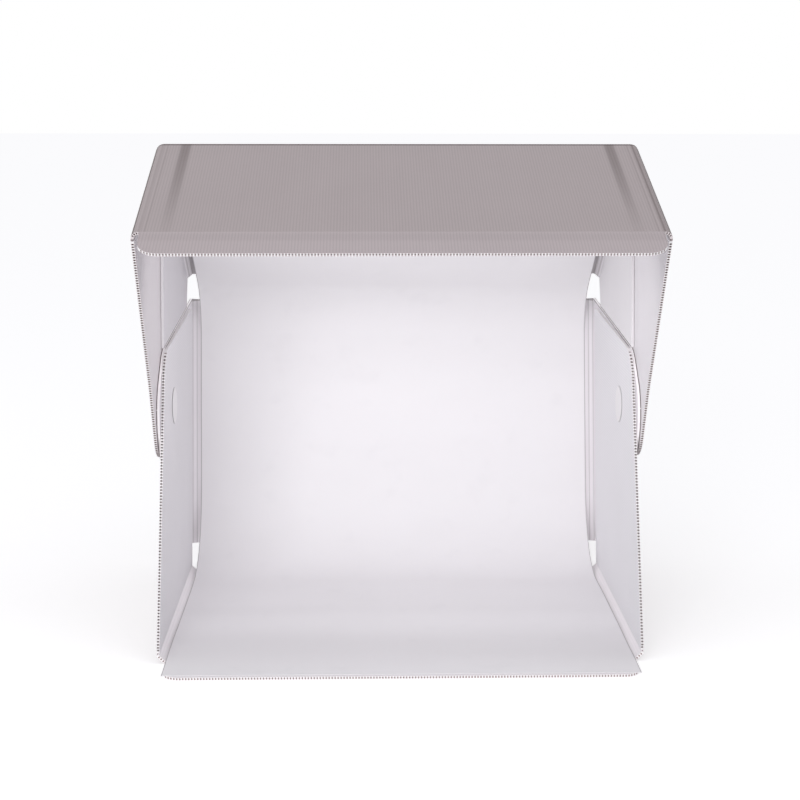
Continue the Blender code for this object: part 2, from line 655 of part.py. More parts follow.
def build_backdrop(model, hinges):
    """The flexible white sheet and the pads that hang it under the roof."""
    path = backdrop_path()
    shape = bmesh.new()
    bmesh.ops.create_grid(shape, x_segments=1, y_segments=len(path) - 1, size=BACKDROP_WIDTH / 2)
    rows = sorted(shape.verts, key=lambda vert: (round(vert.co.y, 6), vert.co.x))
    for index, vert in enumerate(rows):
        depth, height = path[index // 2]
        vert.co.y = depth
        vert.co.z = height
    bmesh.ops.recalc_face_normals(shape, faces=shape.faces)
    shape.faces.ensure_lookup_table()
    lowest = min(shape.faces, key=lambda face: face.calc_center_median().z)
    if lowest.normal.z > 0:
        bmesh.ops.reverse_faces(shape, faces=shape.faces)
    mesh = bpy.data.meshes.new("backdrop")
    shape.to_mesh(mesh)
    shape.free()
    sheet = model.add("backdrop", mesh, Matrix.Identity(4), BACKDROP_FINISH)
    add_sheet_thickness(sheet, BACKDROP_THICK)

    pad_x = BACKDROP_WIDTH * PAD_OFFSET_share
    half = PAD_SIZE / 2
    corners = mirrored([((half, -half), PAD_CORNER), ((half, half), PAD_CORNER)])
    under_roof = panel_matrix(RIDGE, BACK_TOP, SHEET + GAP + PAD_THICK / 2)
    for side, name in ((-1, "left"), (1, "right")):
        centre = (side * pad_x, BACKDROP_TOP_INSET + PAD_INSET + half, 0)
        place = under_roof @ Matrix.Translation(centre)
        model.add(f"hanging_pad_{name}", plate_mesh(corners, PAD_THICK), place, PAD_FINISH, hinges["roof"])


def build_hinges(model):
    """An empty on each folding line."""
    top_crease = below(TOP_FRONT, RIDGE, FLAP_START - GAP)
    roof_crease = below(RIDGE, BACK_TOP, FLAP_START - GAP)
    back_crease = below(BACK_TOP, BASE_REAR, FLAP_START - GAP)
    hinges = {"visor": model.hinge("visor_crease", *TOP_FRONT),
              "top": model.hinge("top_crease", *RIDGE),
              "roof": model.hinge("roof_crease", *BACK_TOP),
              "back": model.hinge("back_crease", *BASE_REAR)}
    for side, name in ((-1, "left"), (1, "right")):
        for flap, crease, x in (("top_flap", top_crease, OUTER_LAYER),
                                ("roof_wing", roof_crease, MIDDLE_LAYER),
                                ("back_wing", back_crease, MIDDLE_LAYER),
                                ("base_flap", (BASE_FRONT[0], FLAP_START - GAP), INNER_LAYER - SHEET)):
            hinges[f"{flap}_{name}"] = model.hinge(f"{flap}_{name}_crease", *crease, side * x)
    return hinges


def stand_on_origin(model):
    """Move the root so that the middle of the part's footprint box is at the origin."""
    bpy.context.view_layer.update()
    graph = bpy.context.evaluated_depsgraph_get()
    corners = []
    for thing in model.parts.objects:
        if thing.type == "MESH":
            shown = thing.evaluated_get(graph)
            corners += [shown.matrix_world @ Vector(corner) for corner in shown.bound_box]
    points = np.array([tuple(corner) for corner in corners])
    low, high = points.min(axis=0), points.max(axis=0)
    middle = (low + high) / 2
    model.root.location = (-middle[0], -middle[1], -low[2])
    bpy.context.view_layer.update()


def main():
    """Build every piece of the tent."""
    clear_scene()
    model = Model()
    hinges = build_hinges(model)
    bpy.context.view_layer.update()
    build_visor(model, hinges)
    build_top_panel(model, hinges)
    build_roof_panel(model, hinges)
    build_back_panel(model, hinges)
    build_base_panel(model)
    build_side_flaps(model, hinges)
    build_magnets(model, hinges)
    build_light_bars(model, hinges)
    build_backdrop(model, hinges)
    stand_on_origin(model)


main()
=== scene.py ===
"""Looks of a folding light tent cube, dressed around its packed construction.

Lengths are in metres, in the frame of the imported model: +X to the right seen from the open
front, +Y from the front to the back and +Z up.

The tent is one strip of twin-wall sheet, folded into visor, top, roof, back and base, with
side flaps that lie over each other in three layers. Each sheet is rebuilt here with its two
skins, its ribs and the open flutes between them, and the folds are soft crushed creases.
"""

import json
import logging
import math
from dataclasses import dataclass, field, replace
from enum import Enum
from typing import Any

import bpy
import numpy as np
from mathutils import Matrix, Vector

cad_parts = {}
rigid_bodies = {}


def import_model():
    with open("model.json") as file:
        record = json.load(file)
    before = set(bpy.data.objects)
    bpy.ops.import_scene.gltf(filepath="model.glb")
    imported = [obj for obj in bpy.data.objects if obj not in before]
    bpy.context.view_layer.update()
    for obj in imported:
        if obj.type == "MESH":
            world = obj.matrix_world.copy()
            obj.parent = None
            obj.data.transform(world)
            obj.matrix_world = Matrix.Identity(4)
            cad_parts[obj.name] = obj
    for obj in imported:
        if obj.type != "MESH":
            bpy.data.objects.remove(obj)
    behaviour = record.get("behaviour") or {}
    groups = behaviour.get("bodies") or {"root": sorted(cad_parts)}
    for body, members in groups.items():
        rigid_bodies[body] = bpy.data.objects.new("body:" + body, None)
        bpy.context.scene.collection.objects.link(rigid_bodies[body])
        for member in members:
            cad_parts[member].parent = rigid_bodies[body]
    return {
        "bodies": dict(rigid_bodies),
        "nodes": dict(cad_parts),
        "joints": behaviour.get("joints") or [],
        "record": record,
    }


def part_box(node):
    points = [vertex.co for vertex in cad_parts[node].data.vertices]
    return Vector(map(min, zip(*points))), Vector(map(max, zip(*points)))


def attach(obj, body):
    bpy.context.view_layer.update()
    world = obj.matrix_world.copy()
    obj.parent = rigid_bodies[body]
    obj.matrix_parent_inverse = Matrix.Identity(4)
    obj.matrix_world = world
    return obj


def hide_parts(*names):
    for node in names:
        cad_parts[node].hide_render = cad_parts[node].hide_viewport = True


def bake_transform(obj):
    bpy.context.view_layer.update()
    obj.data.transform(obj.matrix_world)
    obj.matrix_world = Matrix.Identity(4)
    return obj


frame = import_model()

LOG = logging.getLogger("light_tent")
MM = 0.001
Colour = tuple[float, float, float]
Corner = tuple[np.ndarray, float]


class Side(Enum):
    """The two side walls, by the sign of their X."""

    LEFT = -1
    RIGHT = 1

    @property
    def word(self) -> str:
        """The side's name as the nodes spell it."""
        return self.name.lower()


class SkinFace(Enum):
    """What a face of a twin-wall sheet belongs to, as its material reads it."""

    OUTER = 0.0
    INNER = 1.0
    CUT = 2.0
    FLUTE = 3.0
    RIM = 4.0

    def reached(self, kind: "Value") -> "Value":
        """1 where a face is of this kind or of a later one, and else 0."""
        return kind.smooth(self.value - 0.6, self.value - 0.4)


def srgb(red: int, green: int, blue: int) -> Colour:
    """A colour given in display values from 0 to 255, as linear values.

    Args:
        red: Red display value.
        green: Green display value.
        blue: Blue display value.

    Returns:
        The linear colour.
    """
    shares = np.array((red, green, blue)) / 255
    linear = np.where(shares <= 0.04045, shares / 12.92, ((shares + 0.055) / 1.055) ** 2.4)
    return tuple(float(part) for part in linear)


def unit(vector: np.ndarray) -> np.ndarray:
    """The direction of a vector."""
    return np.asarray(vector, float) / np.linalg.norm(vector)


def crossing(point_a: np.ndarray, run_a: np.ndarray, point_b: np.ndarray, run_b: np.ndarray) -> np.ndarray:
    """Where two straight lines of a plane meet.

    Args:
        point_a: A point of the first line.
        run_a: Direction of the first line.
        point_b: A point of the second line.
        run_b: Direction of the second line.

    Returns:
        The common point.
    """
    along = np.linalg.solve(np.column_stack((run_a, -np.asarray(run_b))), point_b - point_a)
    return point_a + run_a * along[0]


def rounded(corners: list[Corner], step: float = math.radians(6)) -> np.ndarray:
    """An outline with its corners turned into arcs.

    An arc of radius r touches both edges at r / tan(half the corner's angle) from the corner.

    Args:
        corners: Points with the radius of each. Radius 0 stays sharp.
        step: Largest turn between two points of an arc.

    Returns:
        The outline's points, one row each.
    """
    rows = []
    for index, (corner, radius) in enumerate(corners):
        corner = np.asarray(corner, float)
        if radius <= 0:
            rows.append(corner[None])
            continue
        before = unit(np.asarray(corners[index - 1][0], float) - corner)
        after = unit(np.asarray(corners[(index + 1) % len(corners)][0], float) - corner)
        half = math.acos(float(np.clip(before @ after, -1, 1))) / 2
        centre = corner + unit(before + after) * radius / math.sin(half)
        start = corner + before * radius / math.tan(half) - centre
        end = corner + after * radius / math.tan(half) - centre
        sweep = math.atan2(start[0] * end[1] - start[1] * end[0], start @ end)
        turn = np.linspace(0, sweep, max(3, math.ceil(abs(sweep) / step) + 1))[:, None]
        crosswise = np.array((-start[1], start[0]))
        rows.append(centre + np.cos(turn) * start + np.sin(turn) * crosswise)
    return np.concatenate(rows)


def mirrored(half: list[Corner]) -> list[Corner]:
    """A whole outline from its half on the positive side.

    Args:
        half: Corners as ((along, across), radius), in order.

    Returns:
        The corners of both halves.
    """
    return half + [(np.array((along, -across)), radius) for (along, across), radius in reversed(half)]


def make_mesh(name: str, points: np.ndarray, faces: np.ndarray,
              smooth_angle: float = 30.0) -> bpy.types.Object:
    """A mesh object at the origin, from whole arrays.

    Args:
        name: Name of the piece.
        points: Vertex positions, one row each.
        faces: Vertex numbers, one face a row. A row that repeats its last number is a triangle.
        smooth_angle: Degrees above which an edge stays sharp.

    Returns:
        The new object.
    """
    is_triangle = faces[:, 2] == faces[:, 3]
    sizes = np.where(is_triangle, 3, 4)
    starts = np.concatenate(((0,), np.cumsum(sizes)[:-1]))
    keep = np.ones(faces.shape, bool)
    keep[is_triangle, 3] = False
    mesh = bpy.data.meshes.new(name)
    mesh.vertices.add(len(points))
    mesh.vertices.foreach_set("co", np.ascontiguousarray(points, np.float32).ravel())
    mesh.loops.add(int(sizes.sum()))
    mesh.loops.foreach_set("vertex_index", faces[keep].astype(np.int32))
    mesh.polygons.add(len(faces))
    mesh.polygons.foreach_set("loop_start", starts.astype(np.int32))
    mesh.update(calc_edges=True)
    mesh.validate()
    mesh.shade_smooth()
    mesh.set_sharp_from_angle(angle=math.radians(smooth_angle))
    thing = bpy.data.objects.new(name, mesh)
    bpy.context.scene.collection.objects.link(thing)
    return thing


def give_uv(thing: bpy.types.Object, per_point: np.ndarray) -> None:
    """Give a mesh a UV map from one pair of values a vertex.

    Args:
        thing: The mesh object.
        per_point: U and V of each vertex, one row each.
    """
    mesh = thing.data
    corner_points = np.empty(len(mesh.loops), np.int32)
    mesh.loops.foreach_get("vertex_index", corner_points)
    layer = mesh.uv_layers.new(name="flutes")
    layer.data.foreach_set("uv", per_point[corner_points].astype(np.float32).ravel())


class Value:
    """A number that a socket carries. Arithmetic on it adds Math nodes."""

    def __init__(self, nodes: "Nodes", socket: bpy.types.NodeSocket) -> None:
        """Wrap a socket of a node tree."""
        self.nodes = nodes
        self.socket = socket

    def apply(self, operation: str, *others: Any) -> "Value":
        """The result of a Math node on this value and others."""
        made = self.nodes.node("Math", {"operation": operation}, dict(enumerate((self, *others))))
        return Value(self.nodes, made.outputs[0])

    def after(self, operation: str, first: float) -> "Value":
        """The result of a Math node on a number and this value, in that order."""
        made = self.nodes.node("Math", {"operation": operation}, {0: first, 1: self})
        return Value(self.nodes, made.outputs[0])

    def __add__(self, other: Any) -> "Value":
        """Sum."""
        return self.apply("ADD", other)

    def __sub__(self, other: Any) -> "Value":
        """Difference."""
        return self.apply("SUBTRACT", other)

    def __mul__(self, other: Any) -> "Value":
        """Product."""
        return self.apply("MULTIPLY", other)

    def __rsub__(self, other: float) -> "Value":
        """A number less this value."""
        return self.after("SUBTRACT", other)

    __radd__ = __add__
    __rmul__ = __mul__

    def __abs__(self) -> "Value":
        """The value without its sign."""
        return self.apply("ABSOLUTE")

    def smooth(self, low: float, high: float) -> "Value":
        """A soft step from 0 at low to 1 at high, or down again where low is the larger."""
        made = self.nodes.node("MapRange", {"interpolation_type": "SMOOTHSTEP"},
                               {"Value": self, "From Min": low, "From Max": high})
        return Value(self.nodes, made.outputs["Result"])


class Nodes:
    """The node tree of one material or world."""

    def __init__(self, owner: bpy.types.ID) -> None:
        """Start with an empty tree on a material or a world."""
        owner.use_nodes = True
        self.owner = owner
        self.tree = owner.node_tree
        self.tree.nodes.clear()

    @classmethod
    def finish(cls, name: str) -> "Nodes":
        """Start a new material of that name."""
        return cls(bpy.data.materials.new(name))

    def node(self, kind: str, settings: dict[str, Any] | None = None,
             inputs: dict[Any, Any] | None = None) -> bpy.types.Node:
        """Add a node, set it up and feed its sockets.

        Args:
            kind: Node type without its ShaderNode prefix.
            settings: Properties of the node.
            inputs: Values, sockets or Value objects by socket name or number.

        Returns:
            The node.
        """
        made = self.tree.nodes.new("ShaderNode" + kind)
        for key, setting in (settings or {}).items():
            setattr(made, key, setting)
        for key, given in (inputs or {}).items():
            given = given.socket if isinstance(given, Value) else given
            if isinstance(given, bpy.types.NodeSocket):
                self.tree.links.new(given, made.inputs[key])
            elif isinstance(given, tuple) and made.inputs[key].type == "RGBA":
                made.inputs[key].default_value = (*given, 1.0)
            else:
                made.inputs[key].default_value = given
        return made

    def place(self, scale: Colour = (1, 1, 1)) -> bpy.types.NodeSocket:
        """The point on the piece in its own coordinates, scaled along each axis."""
        start = self.node("TexCoord").outputs["Object"]
        return self.node("Mapping", None, {"Vector": start, "Scale": scale}).outputs[0]

    def axes(self, vector: bpy.types.NodeSocket) -> tuple[Value, Value, Value]:
        """The three parts of a vector."""
        parts = self.node("SeparateXYZ", None, {0: vector})
        return tuple(Value(self, out) for out in parts.outputs)

    def noise(self, scale: float, detail: float = 3.0, stretch: Colour = (1, 1, 1)) -> Value:
        """Cloudy noise from 0 to 1 over the piece, with scale in lumps a metre."""
        made = self.node("TexNoise", None, {"Vector": self.place(stretch), "Scale": scale, "Detail": detail})
        return Value(self, made.outputs[0])

    def mix(self, share: Any, first: Any, second: Any) -> bpy.types.NodeSocket:
        """A colour between two colours."""
        made = self.node("Mix", {"data_type": "RGBA"}, {0: share, 6: first, 7: second})
        return made.outputs[2]

    def tint(self, colour: Any, level: Value) -> bpy.types.NodeSocket:
        """A colour made lighter or darker by a level around 1."""
        grey = self.node("CombineXYZ", None, {0: level, 1: level, 2: level}).outputs[0]
        made = self.node("Mix", {"data_type": "RGBA", "blend_type": "MULTIPLY"}, {0: 1.0, 6: colour, 7: grey})
        return made.outputs[2]

    def bump(self, height: Value, depth: float, strength: float = 1.0) -> bpy.types.NodeSocket:
        """A Normal from a height from 0 to 1 that stands depth metres high."""
        return self.node("Bump", None, {"Height": height, "Distance": depth, "Strength": strength}).outputs[0]

    def close(self, **sockets: Any) -> bpy.types.Material:
        """Add the Principled shader and the output.

        Args:
            sockets: Principled inputs, with _ for a space in a name.

        Returns:
            The finished material.
        """
        named = {key.replace("_", " "): given for key, given in sockets.items()}
        shader = self.node("BsdfPrincipled", None, named)
        self.node("OutputMaterial", None, {"Surface": shader.outputs[0]})
        return self.owner


@dataclass(frozen=True)
class Shade:
    """How wide, how soft and how strong a mark of painted shade is."""

    half_width: float
    softness: float
    strength: float

    def share(self, off: Value) -> Value:
        """How much shows at a distance from the mark's middle: all within half_width, then less."""
        return off.smooth(self.half_width + self.softness, self.half_width) * self.strength


@dataclass(frozen=True)
class ShadeBand:
    """A soft band of painted shade. It stands for the shadow of a light bar behind the sheet, and for
    the shade along creases, rims and folds and in the sags of the backdrop.

    The band is straight: it lies where the piece's own coordinate on one axis is near centre.
    Where gone and full differ, it grows from nothing to its strength between those two depths.
    """

    axis: int
    centre: float
    shade: Shade
    gone: float = 0.0
    full: float = 0.0

    def share(self, parts: tuple[Value, Value, Value]) -> Value:
        """How much of the shade shows at a point, from the point's three coordinates."""
        shown = self.shade.share(abs(parts[self.axis] - self.centre))
        return shown if self.gone == self.full else shown * parts[1].smooth(self.gone, self.full)


@dataclass(frozen=True)
class ShadeRing:
    """A thin soft ring of painted shadow on a side sheet, round a point of the side view."""

    centre: tuple[float, float]
    radius: float
    shade: Shade

    def share(self, parts: tuple[Value, Value, Value]) -> Value:
        """How much of the ring shows at a point: it fades with the distance from its circle."""
        ahead, above = parts[1] - self.centre[0], parts[2] - self.centre[1]
        return self.shade.share(abs((ahead * ahead + above * above).apply("SQRT") - self.radius))


@dataclass(frozen=True)
class ShadeLine:
    """A soft line of painted shade on a side sheet, along a straight edge of the side view."""

    start: tuple[float, float]
    run: tuple[float, float]
    shade: Shade

    def share(self, parts: tuple[Value, Value, Value]) -> Value:
        """How much of the line shows at a point: it fades with the distance square to the line."""
        ahead, above = parts[1] - self.start[0], parts[2] - self.start[1]
        return self.shade.share(abs(above * self.run[0] - ahead * self.run[1]))


def both_sides(places: tuple[float, ...], shade: Shade) -> tuple[ShadeBand, ...]:
    """Lengthwise bands at these distances from the middle, on the left and on the right."""
    return tuple(ShadeBand(0, side.value * place, shade) for side in Side for place in places)


@dataclass(frozen=True)
class SheetFinish:
    """Translucent twin-wall plastic: a satin outer skin, a paler inner skin and white cut ends.

    Scales are in lumps a metre, and rib_reach and rib_core are distances from a rib in flutes.
    """

    name: str
    outer: Colour = srgb(182, 171, 172)
    inner: Colour = srgb(226, 222, 226)
    cut: Colour = srgb(250, 247, 248)
    # Painted shade: rim and flute are darker and browner than the cut ends, round and inside the open flutes,
    # for the dark dots that the holes show.
    rim: Colour = srgb(196, 182, 182)
    flute: Colour = srgb(162, 142, 138)
    shade: Colour = srgb(62, 44, 40)
    roughness: float = 0.42
    inner_smoother: float = 0.03
    scuff_contrast: float = 0.16
    scuff_scale: float = 140.0
    gloss: float = 0.3
    rib_contrast: float = 0.11
    rib_reach: float = 0.32
    rib_core: float = 0.06
    rib_hidden_inside: float = 0.55
    cloud: float = 0.035
    cloud_scale: float = 9.0
    streak_scale: float = 60.0
    streak_stretch: Colour = (1.0, 0.04, 0.04)
    grain_depth: float = 0.03 * MM
    grain_scale: float = 900.0
    rib_height: float = 0.8
    glow: float = 0.0
    bands: tuple[ShadeBand | ShadeRing | ShadeLine, ...] = ()

    def material(self) -> bpy.types.Material:
        """Build the material.

        The flute stripes follow the UV map, whose U counts flutes. A rib lies at each whole
        number, and shows as a narrow line that is a little darker than the skin. The glow is
        the light that comes through the sheet to its inner face.

        Returns:
            The material.
        """
        nodes = Nodes.finish(self.name)
        kind = Value(nodes, nodes.node("Attribute", {"attribute_name": "skin_face"}).outputs["Fac"])
        across, _, _ = nodes.axes(nodes.node("UVMap", {"uv_map": "flutes"}).outputs[0])
        is_inner = SkinFace.INNER.reached(kind)
        to_rib = abs(across - across.apply("ROUND"))
        stripe = to_rib.smooth(self.rib_reach, self.rib_core) * (1 - is_inner * self.rib_hidden_inside)
        cloud = nodes.noise(self.cloud_scale, 4.0) - 0.5
        streak = nodes.noise(self.streak_scale, 2.0, self.streak_stretch) - 0.5
        level = 1 - stripe * self.rib_contrast + cloud * self.cloud * 2 + streak * self.cloud
        skin = nodes.tint(nodes.mix(is_inner, self.outer, self.inner), level)
        parts = nodes.axes(nodes.place())
        # Painted shade: each band, ring and line darkens the skin towards the shade colour.
        for band in self.bands:
            skin = nodes.mix(band.share(parts), skin, self.shade)
        end = nodes.mix(SkinFace.FLUTE.reached(kind), self.cut, self.flute)
        end = nodes.mix(SkinFace.RIM.reached(kind), end, self.rim)
        colour = nodes.mix(SkinFace.CUT.reached(kind), skin, end)
        scuff = nodes.noise(self.scuff_scale, 5.0)
        roughness = self.roughness + scuff * self.scuff_contrast - is_inner * self.inner_smoother
        grain = nodes.noise(self.grain_scale, 2.0) + stripe * self.rib_height
        normal = nodes.bump(grain, self.grain_depth, 0.6)
        through = nodes.mix(is_inner, (0.0, 0.0, 0.0), self.inner)
        return nodes.close(Base_Color=colour, Roughness=roughness, Specular_IOR_Level=self.gloss,
                           Normal=normal, Emission_Color=through, Emission_Strength=self.glow)


@dataclass(frozen=True)
class BackdropFinish:
    """Smooth matt white flexible sheet, with painted shade along its side edges, edge metres from its middle.
    """

    edge: float
    face: Colour = srgb(244, 242, 244)
    back: Colour = srgb(222, 220, 223)
    # rim is the colour of the painted shade along the side edges and in the sag bands.
    rim: Colour = srgb(120, 112, 114)
    rim_inner: float = 1.6 * MM
    rim_outer: float = 0.5 * MM
    rim_strength: float = 0.5
    smudge: float = 0.12
    cloud: float = 0.08
    ripple: float = 0.06
    roughness: float = 0.55
    relief: float = 0.15 * MM
    tones: tuple[ShadeBand, ...] = (ShadeBand(1, -160 * MM, Shade(10 * MM, 78 * MM, 0.09)),
                                    ShadeBand(1, -20 * MM, Shade(2 * MM, 30 * MM, 0.02)))

    def material(self) -> bpy.types.Material:
        """Build the material, a little greyer where hands have held it, with painted shade along its side
        edges, in soft bands where it sags and in faint streaks.

        Returns:
            The material.
        """
        nodes = Nodes.finish("backdrop_white")
        cloud = nodes.noise(5.0, 3.0)
        smudge = nodes.noise(28.0, 5.0).smooth(0.55, 0.8)
        colour = nodes.mix(smudge * self.smudge + cloud * self.cloud, self.face, self.back)
        parts = nodes.axes(nodes.place())
        # Painted shade: a grey line along both side edges of the sheet.
        edge_shade_mask = abs(parts[0]).smooth(self.edge - self.rim_inner, self.edge - self.rim_outer)
        colour = nodes.mix(edge_shade_mask * self.rim_strength, colour, self.rim)
        # Painted shade: soft bands across the sheet where it sags.
        for sag_shade in self.tones:
            colour = nodes.mix(sag_shade.share(parts), colour, self.rim)
        # Painted shade: faint streaks across the sheet, for the light on its ripples.
        ripple = nodes.noise(9.0, 2.0, (0.3, 1.0, 1.0)) - 0.5
        colour = nodes.tint(colour, 1 + ripple * self.ripple)
        roughness = self.roughness + cloud * 0.12
        fine = nodes.noise(1400.0, 2.0)
        broad = nodes.noise(12.0, 2.0)
        normal = nodes.bump(fine * 0.3 + broad, self.relief, 0.5)
        return nodes.close(Base_Color=colour, Roughness=roughness, Normal=normal)


@dataclass(frozen=True)
class PlainFinish:
    """One even moulded, drawn or woven surface with its own grain."""

    name: str
    colour: Colour
    roughness: float
    metallic: float = 0.0
    grain: float = 600.0
    stretch: Colour = (1.0, 1.0, 1.0)
    depth: float = 0.02 * MM
    variation: float = 0.05

    def material(self) -> bpy.types.Material:
        """Build the material, with a grain that colour, roughness and bump share.

        Returns:
            The material.
        """
        nodes = Nodes.finish(self.name)
        grain = nodes.noise(self.grain, 3.0, self.stretch)
        wear = nodes.noise(40.0, 4.0)
        level = 1 + (wear - 0.5) * self.variation * 2 + (grain - 0.5) * self.variation
        colour = nodes.tint(self.colour, level)
        roughness = self.roughness + (grain - 0.5) * 0.15 + (wear - 0.5) * 0.1
        normal = nodes.bump(grain, self.depth, 0.7)
        return nodes.close(Base_Color=colour, Roughness=roughness, Metallic=self.metallic, Normal=normal)


@dataclass(frozen=True)
class BoardFinish:
    """White circuit board flecked with yellow, for its solder pads and light chips."""

    board: Colour = srgb(238, 238, 234)
    chip: Colour = srgb(240, 214, 120)
    fleck_strength: float = 0.55
    relief: float = 0.05 * MM

    def material(self) -> bpy.types.Material:
        """Build the material: flecks of noise break up the white.

        Returns:
            The material.
        """
        nodes = Nodes.finish("light_board")
        flecks = nodes.noise(260.0, 1.0).smooth(0.52, 0.6)
        colour = nodes.mix(flecks * self.fleck_strength, self.board, self.chip)
        normal = nodes.bump(nodes.noise(500.0, 2.0), self.relief)
        return nodes.close(Base_Color=colour, Roughness=0.4 + flecks * 0.2, Normal=normal)


@dataclass(frozen=True)
class Profile:
    """Folding lines of the strip in the side view, as (y, z) of the outer faces."""

    lip_front: np.ndarray
    base_front: np.ndarray
    base_rear: np.ndarray
    back_top: np.ndarray
    ridge: np.ndarray
    top_front: np.ndarray
    visor_front: np.ndarray

    @classmethod
    def of(cls, packed: dict[str, Any], visor_length: float, visor_slope: float) -> "Profile":
        """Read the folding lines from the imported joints.

        Args:
            packed: The loaded frame.
            visor_length: Length of the visor, front to back.
            visor_slope: Slope of the visor in radians.

        Returns:
            The profile.
        """
        fold = {joint["name"]: np.array(joint["pos_m"][1:]) for joint in packed["joints"]}
        top_front = fold["visor_fold"]
        down = np.array((math.cos(visor_slope), math.sin(visor_slope)))
        return cls(lip_front=np.array((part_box("base_panel")[0].y, 0.0)),
                   base_front=np.array((fold["base_flap_left_fold"][0], 0.0)),
                   base_rear=fold["back_fold"], back_top=fold["roof_fold"], ridge=fold["ridge_fold"],
                   top_front=top_front, visor_front=top_front - down * visor_length)


def below(start: np.ndarray, end: np.ndarray, drop: float, along: float = 0.0) -> np.ndarray:
    """A point inside the profile by drop, and along the panel from start by along."""
    run = unit(end - start)
    return start + run * along - np.array((-run[1], run[0])) * drop


@dataclass(frozen=True)
class Plane:
    """Where a flat sheet lies: its outer face, with directions across and along its flutes."""

    origin: np.ndarray
    across: np.ndarray
    along: np.ndarray
    out: np.ndarray

    @classmethod
    def strip(cls, start: np.ndarray, end: np.ndarray) -> "Plane":
        """The plane of a panel of the strip, which runs from start to end in the side view."""
        run = unit(end - start)
        return cls(np.array((0.0, *start)), np.array((1.0, 0.0, 0.0)), np.array((0.0, *run)),
                   np.array((0.0, -run[1], run[0])))

    @classmethod
    def flap(cls, side: Side, layer: float, start: np.ndarray, end: np.ndarray) -> "Plane":
        """The plane of a side flap, creased along the line from start to end of the side view."""
        run = unit(end - start)
        return cls(np.array((side.value * layer, *start)), np.array((0.0, run[1], -run[0])),
                   np.array((0.0, *run)), np.array((float(side.value), 0.0, 0.0)))

    def is_right_handed(self) -> bool:
        """Whether across, along and out turn like X, Y and Z."""
        return float(np.dot(np.cross(self.across, self.along), self.out)) > 0

    def flat(self, points: np.ndarray) -> np.ndarray:
        """Side-view points as (along, across) on this plane."""
        moved = np.atleast_2d(points) - self.origin[1:]
        return np.column_stack((moved @ self.along[1:], moved @ self.across[1:]))


@dataclass(frozen=True)
class EdgeBand:
    """The creased band along both side edges, where the sheet turns in by its angle.

    From start the sheet follows an arc, then runs straight on for its tail. Distances are
    measured along the sheet from its middle, and edge is where the two straight runs would meet.
    """

    edge: float
    tail: float
    radius: float = 5 * MM
    angle: float = math.pi / 4
    arc_points: int = 11

    @classmethod
    def sloping(cls, edge: float, width: float) -> "EdgeBand":
        """A band at 45 degrees that is width wide and as deep."""
        whole = cls(edge, 0.0)
        return cls(edge, width / math.cos(whole.angle) - whole.radius * math.tan(whole.angle / 2))

    @classmethod
    def quarter(cls, edge: float, width: float) -> "EdgeBand":
        """A quarter round that is width wide and as deep, with the sheet's free edge upright."""
        return cls(edge, 0.0, width, math.pi / 2)

    @property
    def start(self) -> float:
        """Where the arc begins."""
        return self.edge - self.radius * math.tan(self.angle / 2)

    @property
    def end(self) -> float:
        """The band's free edge, measured along the sheet."""
        return self.start + self.radius * self.angle + self.tail

    def stations(self) -> np.ndarray:
        """Distances from the middle, on both sides, that part the arc into even turns."""
        turns = self.start + self.radius * np.linspace(0, self.angle, self.arc_points)
        return np.concatenate((turns, -turns))

    def bend(self, across: np.ndarray) -> tuple[np.ndarray, np.ndarray, np.ndarray, np.ndarray]:
        """Carry flat distances round the band.

        Args:
            across: Distances from the middle, measured along the sheet.

        Returns:
            Sideways and outward place, and the sideways and outward parts of the normal.
        """
        side = np.sign(across)
        past = np.abs(across) - self.start
        turn = np.clip(past / self.radius, 0, self.angle)
        straight = np.maximum(past - self.radius * self.angle, 0)
        wide = self.start + self.radius * np.sin(turn) + straight * math.cos(self.angle)
        wide = np.where(past > 0, wide, np.abs(across))
        height = -self.radius * (1 - np.cos(turn)) - straight * math.sin(self.angle)
        return side * wide, height, side * np.sin(turn), np.cos(turn)


